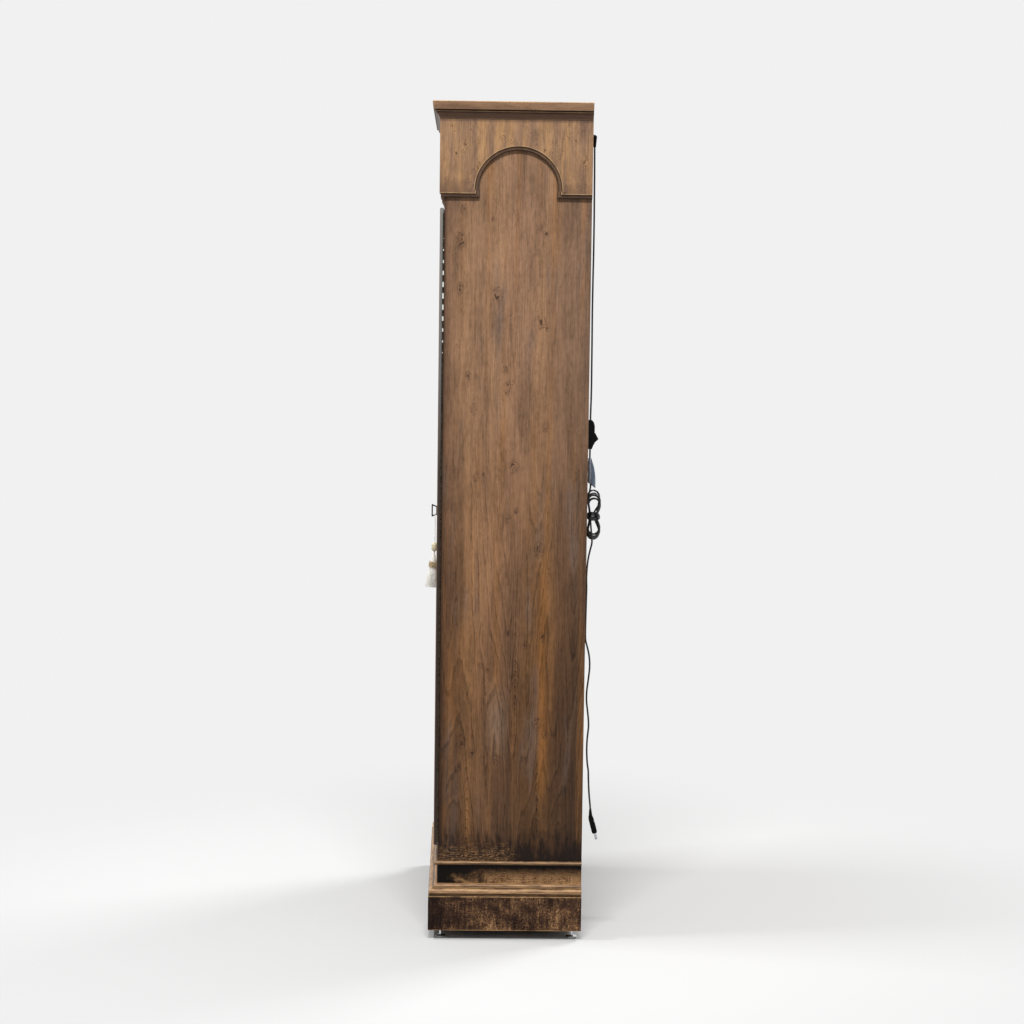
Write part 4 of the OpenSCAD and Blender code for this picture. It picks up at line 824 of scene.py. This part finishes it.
def plastic(name, colour, scuffed, rough, gloss=0.22):
    finish = Finish(name, Specular_IOR_Level=gloss)
    scuff = finish.noise(finish.place, 220.0, 4, 0.6)
    finish.colour = finish.mix(scuff.span(0.5, 0.72), srgb(*colour), srgb(*scuffed))
    finish.set(Roughness=scuff.span(0.35, 0.7, rough, rough + 0.14))
    return finish.done(finish.noise(finish.place, 1320.0, 2, 0.5), 0.03 * MM, 0.3)


def bag_plastic():
    """Thin grey-blue plastic with creases, and painted highlights as pale streaks and a pale upright line."""
    finish = Finish("sleeve_plastic", Roughness=0.3, Specular_IOR_Level=0.4, Transmission_Weight=0.25)
    crease = upright_streaks(finish, 320, 24, 3, 0.6, 0.6)
    finish.colour = finish.mix(crease.span(0.40, 0.62), srgb(92, 106, 126), srgb(132, 146, 166))
    # Painted highlights: pale streaks on the creases, and a pale upright line
    finish.coat(crease.span(0.60, 0.70), 214, 220, 228)
    pale_highlight_line = (finish.y + crease * (4 * MM)).hump(213 * MM, 1.6 * MM)
    finish.coat(pale_highlight_line * 0.85, 224, 228, 234)
    return finish.done(crease, 0.4 * MM, 0.6)


def both(name):
    """The right and the left piece of this name."""
    return "right_" + name, "left_" + name


side_veneer().use("side_panel_right", "side_panel_left")
frieze_wood("frieze_wood", True).use("frieze_right", "frieze_left")
frieze_wood("frieze_front_wood", False).use("frieze_front")
cap_wood().use("crown_cap")
moulding_wood().use("cornice_moulding")
base_wood().use("plinth_boards", "base_frame")
worn_moulding().use("base_mouldings")

DOOR_LIGHT = (122, 90, 66)
DOOR_MID = (94, 69, 51)
door_stile_wood().use(*both("door_hinge_stile"), *both("door_meeting_stile"))
board("door_rail_wood", "z", "x", DOOR_LIGHT, DOOR_MID, WALNUT_DARK, 0.4, 23.0).use(*both("door_rails"))
board("bead_wood", "x", "z", (112, 80, 54), (88, 62, 43), WALNUT_DARK, 0.4, 25.0).use(*both("door_beads"))
board("inner_wood", "z", "x", (160, 124, 94), (132, 101, 77), WALNUT_DARK, 0.5, 27.0).use(
    "bottom_board", "display_ceiling")
rail_wood().use("top_rail", "bottom_rail")
board("back_board", "x", "z", (176, 142, 104), (158, 124, 88), (110, 82, 58), 0.75, 29.0).use("back_panel")
board("raw_wood", "x", "y", (196, 164, 122), (178, 144, 102), (120, 90, 60), 0.8, 31.0).use("corner_blocks")
glass("door_glass", (0.94, 0.975, 0.965, 1.0)).use(*both("door_glass"), "glass_shelves")
glass("lens_glass", (0.97, 0.97, 0.96, 1.0), 0.28).use("lamp_lens")
glass("bulb_glass", (0.98, 0.95, 0.88, 1.0), 0.35).use("lamp_bulb")
hinge_metal().use("hinge_frame_leaves", *both("hinge_leaf"))
metal("lock_brass", (184, 152, 92), (96, 74, 46), 0.3).use("lock_case", "lock_bolt", "escutcheon")
metal("bright_steel", (226, 228, 230), (176, 178, 182), 0.12).use(
    "foot_front_right", "foot_front_left", "foot_back_right", "foot_back_left")
metal("zinc_steel", (186, 188, 192), (138, 140, 144), 0.36).use(
    "foot_sockets", "hinge_pins", "shelf_pins", *both("catch_plate"), "plug_prongs")
metal("lamp_metal", (206, 208, 210), (160, 162, 166), 0.3).use("lamp_housing")
metal("key_iron", (44, 43, 43), (24, 22, 21), 0.5).use("key")
plastic("magnet_case", (96, 72, 56), (112, 88, 70), 0.5).use("catch_magnets")
plastic("black_plastic", (4, 4, 5), (12, 12, 13), 0.24, 0.09).use(
    "cord_gland", "switch_case", "switch_rocker", "plug_body")
cord_rubber = plastic("cord_rubber", (13, 13, 14), (34, 34, 35), 0.2, 0.5)
power_cord.data.materials.append(cord_rubber.material)
plastic("lead_rubber", (44, 44, 46), (60, 60, 62), 0.4).use("lamp_lead")
tie_plastic = plastic("tie_plastic", (20, 20, 21), (48, 48, 50), 0.3)
sleeve_plastic = bag_plastic()

# Sleeve: a crumpled translucent bag round the cord, narrow above, with a slanted open rim below

SLEEVE_TOP, SLEEVE_RIM = 1211, 1141.5
# Each ring: its height, the middle and half of its width along X, and its two sides along Y
SLEEVE_RINGS = [
    (SLEEVE_TOP, 317.6, 3.3, 206.4, 213.4), (1205, 317.2, 3.7, 206, 215.4), (1197, 316.6, 4.4, 205.8, 218.4),
    (1188, 315.8, 5.2, 205.6, 221), (1178, 315, 5.8, 205.6, 222.8), (1168, 314.4, 6.2, 205.7, 224),
    (1158, 313.9, 6.6, 205.9, 224.8), (1149, 313.6, 6.9, 206.2, 225.4),
    (SLEEVE_RIM, 313.4, 7.2, 206.4, 225.8),
]
SLEEVE_POINTS = 40
RIM_SLANT = 0.75


def add_sleeve():
    """A skin whose creases and slant grow towards its rim."""
    rings = []
    for height, middle, half_width, near, far in SLEEVE_RINGS:
        share = (SLEEVE_TOP - height) / (SLEEVE_TOP - SLEEVE_RIM)
        ring = []
        for i in range(SLEEVE_POINTS):
            angle = 2 * math.pi * i / SLEEVE_POINTS
            crumple = 0.08 * math.sin(3 * angle + height * 0.11) + 0.05 * math.sin(8 * angle - height * 0.07)
            size = 1 - share * (0.02 - crumple)
            y = (near + far) / 2 + (far - near) / 2 * math.sin(angle) * size
            slant = -RIM_SLANT * (y - (near + far) / 2) * share ** 3
            ring.append((middle + half_width * math.cos(angle) * size, y, height + slant))
        rings.append(in_metres(ring))
    sleeve = loft("cord_sleeve_bag", rings, caps=False)
    wall = sleeve.modifiers.new("wall", "SOLIDIFY")
    wall.thickness = 0.5 * MM
    wall.offset = 0
    smooth = sleeve.modifiers.new("smooth", "SUBSURF")
    smooth.levels = smooth.render_levels = 1
    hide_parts("cord_sleeve")
    sleeve.data.materials.append(sleeve_plastic.material)
    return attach(sleeve, "cabinet")


# Tie: a thin cord wound round the hank's waist in two slanted layers

TIE_RADIUS = 1.7
TIE_CENTRE = (327.6, 220.4, 1066)
# Each layer: its half sizes, its turns, how far it slants, and where it starts as a part of a turn
TIE_LAYERS = [(20.4, 12.3, 3.1, 5.0, 0.0), (23.6, 15.4, 1.6, -6.5, 0.5)]
TIE_ROUND = 0.55
TIE_PITCH = 3.7
TIE_STEPS = 36


def add_tie():
    line = []
    for half_x, half_y, turns, slant, start in TIE_LAYERS:
        for i in range(round(turns * TIE_STEPS) + 1):
            turn = i / TIE_STEPS
            angle = 2 * math.pi * (turn + start)
            across, along = math.cos(angle), math.sin(angle)
            x = half_x * math.copysign(abs(across) ** TIE_ROUND, across)
            y = half_y * math.copysign(abs(along) ** TIE_ROUND, along)
            rise = TIE_PITCH * (turn - turns / 2) + slant * across
            line.append((TIE_CENTRE[0] + x, TIE_CENTRE[1] + y, TIE_CENTRE[2] + rise))
    line = relaxed(evened(in_metres(line), 1.5 * MM), 8)
    tie = curve_piece("hank_tie_wrap", [line], TIE_RADIUS * MM)
    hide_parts("hank_tie")
    tie.data.materials.append(tie_plastic.material)
    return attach(tie, "cabinet")


# Tassel: a two-ply loop, a wound knot, a ribbed head, a looped ruche and a skirt of threads

TASSEL_X, TASSEL_Y = 24.25, -178.2
KNOT_Z = 962.4
BOW_LOW_Z = 1036.42
LOOP_BEND = 3.2
LOOP_PLY = 0.55
TASSEL_LEAN = math.radians(4.2)
KNOT_RADIUS = 7.6
HEAD_LOW = -49
RUCHE_LOW, RUCHE_RADIUS = -65, 9.6
RUCHE_ROWS, RUCHE_LOOPS = 4, 26
SKIRT_LOW, SKIRT_RADIUS, SKIRT_TOP_RADIUS = -117.6, 15.2, 7.4
THREADS = 150


def tassel_place(radius, angle, depth):
    """A point of the leaning tassel, depth being below the top of its knot as a negative number."""
    x, y = radius * math.cos(angle), radius * math.sin(angle)
    lean_y = y * math.cos(TASSEL_LEAN) + depth * math.sin(TASSEL_LEAN)
    lean_z = depth * math.cos(TASSEL_LEAN) - y * math.sin(TASSEL_LEAN)
    return Vector((TASSEL_X + x, TASSEL_Y + lean_y, KNOT_Z + lean_z)) * MM


def turned(name, stops, step, count, wave):
    """A turned form through stops of radius and depth, whose radius waves with the angle and the depth."""
    angles = [2 * math.pi * i / count for i in range(count)]
    rings = []
    for spot in smooth_line([Vector((*stop, 0)) for stop in stops], step):
        rings.append([tassel_place(max(0.2, spot.x + wave(a, spot.y)), a, spot.y) for a in angles])
    return loft(name, rings)


def on_tassel(piece, finish):
    piece.data.materials.append(finish.material)
    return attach(piece, "tassel")


def add_tassel_loop():
    """Two plies twisted round each other, from the knot up through the key's bow and back."""
    back = Vector((0, 1, 0))
    path = [(-1.6, KNOT_Z - 4), (-2.4, KNOT_Z + 8), (-LOOP_BEND, KNOT_Z + 24), (-LOOP_BEND, BOW_LOW_Z - 12)]
    for a in range(180, -1, -30):
        turn = math.radians(a)
        path.append((LOOP_BEND * math.cos(turn), BOW_LOW_Z + LOOP_BEND * math.sin(turn)))
    path += [(LOOP_BEND, BOW_LOW_Z - 12), (LOOP_BEND, KNOT_Z + 24), (2.4, KNOT_Z + 8), (1.6, KNOT_Z - 4)]
    middle = smooth_line(in_metres([(TASSEL_X + x, TASSEL_Y, z) for x, z in path]), 0.6 * MM)
    plies = []
    for phase in (0, math.pi):
        ply = []
        for i, (before, after) in enumerate(zip(middle, middle[1:])):
            side = (after - before).normalized().cross(back)
            turn = phase + i * 0.75
            ply.append(before + (side * math.cos(turn) + back * math.sin(turn)) * LOOP_PLY * MM)
        plies.append(ply)
    return curve_piece("tassel_loop", plies, 0.62 * MM, resolution=2)


def add_tassel_knot():
    stops = [(2.6, 0.5), (5.2, -1.2), (7.2, -5), (KNOT_RADIUS, -10), (KNOT_RADIUS, -13), (6.8, -18),
             (4.6, -20.8), (2.4, -22), (2.2, -24)]
    return turned("tassel_knot", stops, 0.5, 72,
                  lambda a, d: 0.38 * abs(math.sin(5 * a + d * 0.62)) + 0.12 * math.sin(9 * a - d))


def add_tassel_head():
    stops = [(2.2, -22.5), (2.6, -25), (2.9, -28), (4.6, -35), (6.4, -42), (8.0, HEAD_LOW),
             (8.2, HEAD_LOW - 3)]
    return turned("tassel_head", stops, 1.0, 120, lambda a, d: 0.3 * abs(math.sin(16 * a)))


def add_tassel_ruche():
    """Rows of small thread loops over a band."""
    stops = [(7.6, HEAD_LOW + 1), (RUCHE_RADIUS - 0.6, HEAD_LOW - 3), (RUCHE_RADIUS, -57),
             (RUCHE_RADIUS - 0.4, RUCHE_LOW + 3), (7.8, RUCHE_LOW - 1)]
    band = turned("tassel_ruche", stops, 1.0, 96, lambda a, d: 0.25 * math.sin(24 * a + d * 1.4))
    chance = random.Random(7)
    lines = []
    for row in range(RUCHE_ROWS):
        for i in range(RUCHE_LOOPS):
            start = 2 * math.pi * (i + 0.5 * (row % 2)) / RUCHE_LOOPS
            depth = HEAD_LOW - 2.2 - row * 3.8 + chance.uniform(-0.5, 0.5)
            lift = chance.uniform(1.0, 1.5)
            loop = []
            for j in range(9):
                turn = 2 * math.pi * j / 8
                loop.append(tassel_place(RUCHE_RADIUS + 0.1 + lift * 0.5 * (1 - math.cos(turn)),
                                         start + 0.09 * math.sin(turn), depth + 1.7 * math.cos(turn)))
            lines.append(loop)
    return band, curve_piece("tassel_ruche_loops", lines, 0.55 * MM, resolution=1)


def add_tassel_skirt():
    """A core with threads hung round it, each with a length and a bend of its own."""
    stops = [(6.6, RUCHE_LOW + 2), (7.6, -74), (10.0, -95), (SKIRT_RADIUS - 2.0, SKIRT_LOW + 3)]
    core = turned("tassel_skirt_core", stops, 2.0, 64, lambda a, d: 0.3 * math.sin(21 * a))
    top = RUCHE_LOW + 2
    chance = random.Random(11)
    lines = []
    for i in range(THREADS):
        angle = 2 * math.pi * (i + chance.uniform(-0.4, 0.4)) / THREADS
        reach = 1 - 0.11 * (i % 3) + chance.uniform(-0.03, 0.03)
        sway = chance.uniform(-0.10, 0.10)
        low = SKIRT_LOW + chance.uniform(0.0, 3.0)
        thread = []
        for j in range(7):
            share = j / 6
            flare = SKIRT_TOP_RADIUS + (SKIRT_RADIUS - SKIRT_TOP_RADIUS) * share ** 0.8
            radius = flare * (1 - (1 - reach) * share) + 0.9 * (1 - share)
            bent = angle + sway * math.sin(share * 3)
            thread.append(tassel_place(radius, bent, top + (low - top) * share))
        lines.append(thread)
    return core, curve_piece("tassel_skirt", lines, 0.5 * MM, resolution=1)


def thread_finish(name, pale, deep, scale=420.0):
    """Shiny twisted thread, with darker hollows."""
    finish = Finish(name, Roughness=0.55, Specular_IOR_Level=0.35, Sheen_Weight=0.25)
    ply = finish.noise(finish.place, scale, 3, 0.6)
    streak = upright_streaks(finish, 260, 26, 2, 0.5)
    share = ply.span(0.4, 0.7) * 0.4 + streak.span(0.5, 0.66) * 0.6
    finish.colour = finish.mix(share, srgb(*pale), srgb(*deep))
    return finish.done(ply, 0.1 * MM, 0.5)


def add_tassel():
    ivory = thread_finish("ivory_thread", (254, 252, 245), (226, 217, 208))
    tan = thread_finish("tan_thread", (216, 194, 156), (150, 124, 90))
    olive = thread_finish("olive_thread", (236, 224, 192), (156, 142, 106), 300.0)
    skirt_core, skirt = add_tassel_skirt()
    ruche, ruche_loops = add_tassel_ruche()
    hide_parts("tassel")
    for piece in (skirt_core, skirt, add_tassel_head(), add_tassel_loop()):
        on_tassel(piece, ivory)
    for piece in (ruche, ruche_loops):
        on_tassel(piece, tan)
    on_tassel(add_tassel_knot(), olive)


add_tassel()
sleeve_bag = add_sleeve()
tie_wrap = add_tie()

# Cord: a list of the pieces that it hangs from or carries

with_cord = [nodes[n] for n in ("cord_gland", "switch_case", "switch_rocker", "plug_body", "plug_prongs")]
with_cord += [sleeve_bag, tie_wrap]

# Studio: a pale floor, strip lights high up and an even world

BACKGROUND = srgb(241, 241, 241)
FLOOR_SIZE = 80.0
FLOOR_SHOWN = 0.60
FLOOR_BOUNCE = 0.26
FLOOR_NEAR = 0.75
FLOOR_FAR = 2.0
WORLD_STRENGTH = 0.45


def seen_directly(tree):
    """1 for camera, glossy and transmission rays, which show the background, and 0 for all others."""
    path = tree.nodes.new("ShaderNodeLightPath")
    either = path.outputs["Is Camera Ray"]
    for ray in ("Is Glossy Ray", "Is Transmission Ray"):
        largest = tree.nodes.new("ShaderNodeMath")
        largest.operation = "MAXIMUM"
        tree.links.new(either, largest.inputs[0])
        tree.links.new(path.outputs[ray], largest.inputs[1])
        either = largest.outputs[0]
    return either


def add_floor():
    """A pale floor that keeps the shadow close by, and passes into the background farther off."""
    half = FLOOR_SIZE / 2
    floor = mesh_piece("floor", [(-half, -half, 0), (half, -half, 0), (half, half, 0), (-half, half, 0)],
                       [(0, 1, 2, 3)], smooth=False)
    finish = Finish("floor", Roughness=0.95, Specular_IOR_Level=0.05)
    seen = Field(finish, seen_directly(finish.tree))
    finish.set(Base_Color=finish.grey(seen.span(0.0, 1.0, FLOOR_BOUNCE, FLOOR_SHOWN, "LINEAR")))
    away = (finish.x * finish.x + finish.y * finish.y).calc("SQRT")
    glow = finish.add("Emission", Color=BACKGROUND)
    mix = finish.add("MixShader")
    finish.plug(mix.inputs[0], away.span(FLOOR_NEAR, FLOOR_FAR) * seen)
    finish.plug(mix.inputs[1], finish.shader.outputs[0])
    finish.plug(mix.inputs[2], glow.outputs[0])
    finish.plug(finish.tree.nodes["Material Output"].inputs["Surface"], mix.outputs[0])
    floor.data.materials.append(finish.material)


def add_world():
    world = bpy.data.worlds.new("studio")
    world.use_nodes = True
    tree = world.node_tree
    light = tree.nodes["Background"]
    light.inputs["Color"].default_value = (1.0, 1.0, 1.0, 1.0)
    light.inputs["Strength"].default_value = WORLD_STRENGTH
    shown = tree.nodes.new("ShaderNodeBackground")
    shown.inputs["Color"].default_value = BACKGROUND
    mix = tree.nodes.new("ShaderNodeMixShader")
    tree.links.new(seen_directly(tree), mix.inputs[0])
    tree.links.new(light.outputs[0], mix.inputs[1])
    tree.links.new(shown.outputs[0], mix.inputs[2])
    tree.links.new(mix.outputs[0], tree.nodes["World Output"].inputs["Surface"])
    scene.world = world


def add_strip(name, place, target, power, length, width):
    data = bpy.data.lights.new(name, "AREA")
    data.shape = "RECTANGLE"
    data.size = length
    data.size_y = width
    data.energy = power
    lamp = bpy.data.objects.new(name, data)
    lamp.location = place
    back = (Vector(place) - Vector(target)).normalized()
    lamp.rotation_euler = back.to_track_quat("Z", "Y").to_euler()
    scene.collection.objects.link(lamp)


add_floor()
add_world()
add_strip("side_strip", (3.4, -0.2, 6.1), (0.37, 0.0, 1.3), 300, 2.2, 0.4)
add_strip("front_strip", (0.3, -3.8, 5.6), (0.0, -0.15, 1.3), 190, 1.8, 0.5)
add_strip("other_strip", (-2.6, 3.2, 5.6), (-0.1, 0.1, 1.3), 190, 1.8, 0.8)

scene.view_settings.view_transform = "Standard"
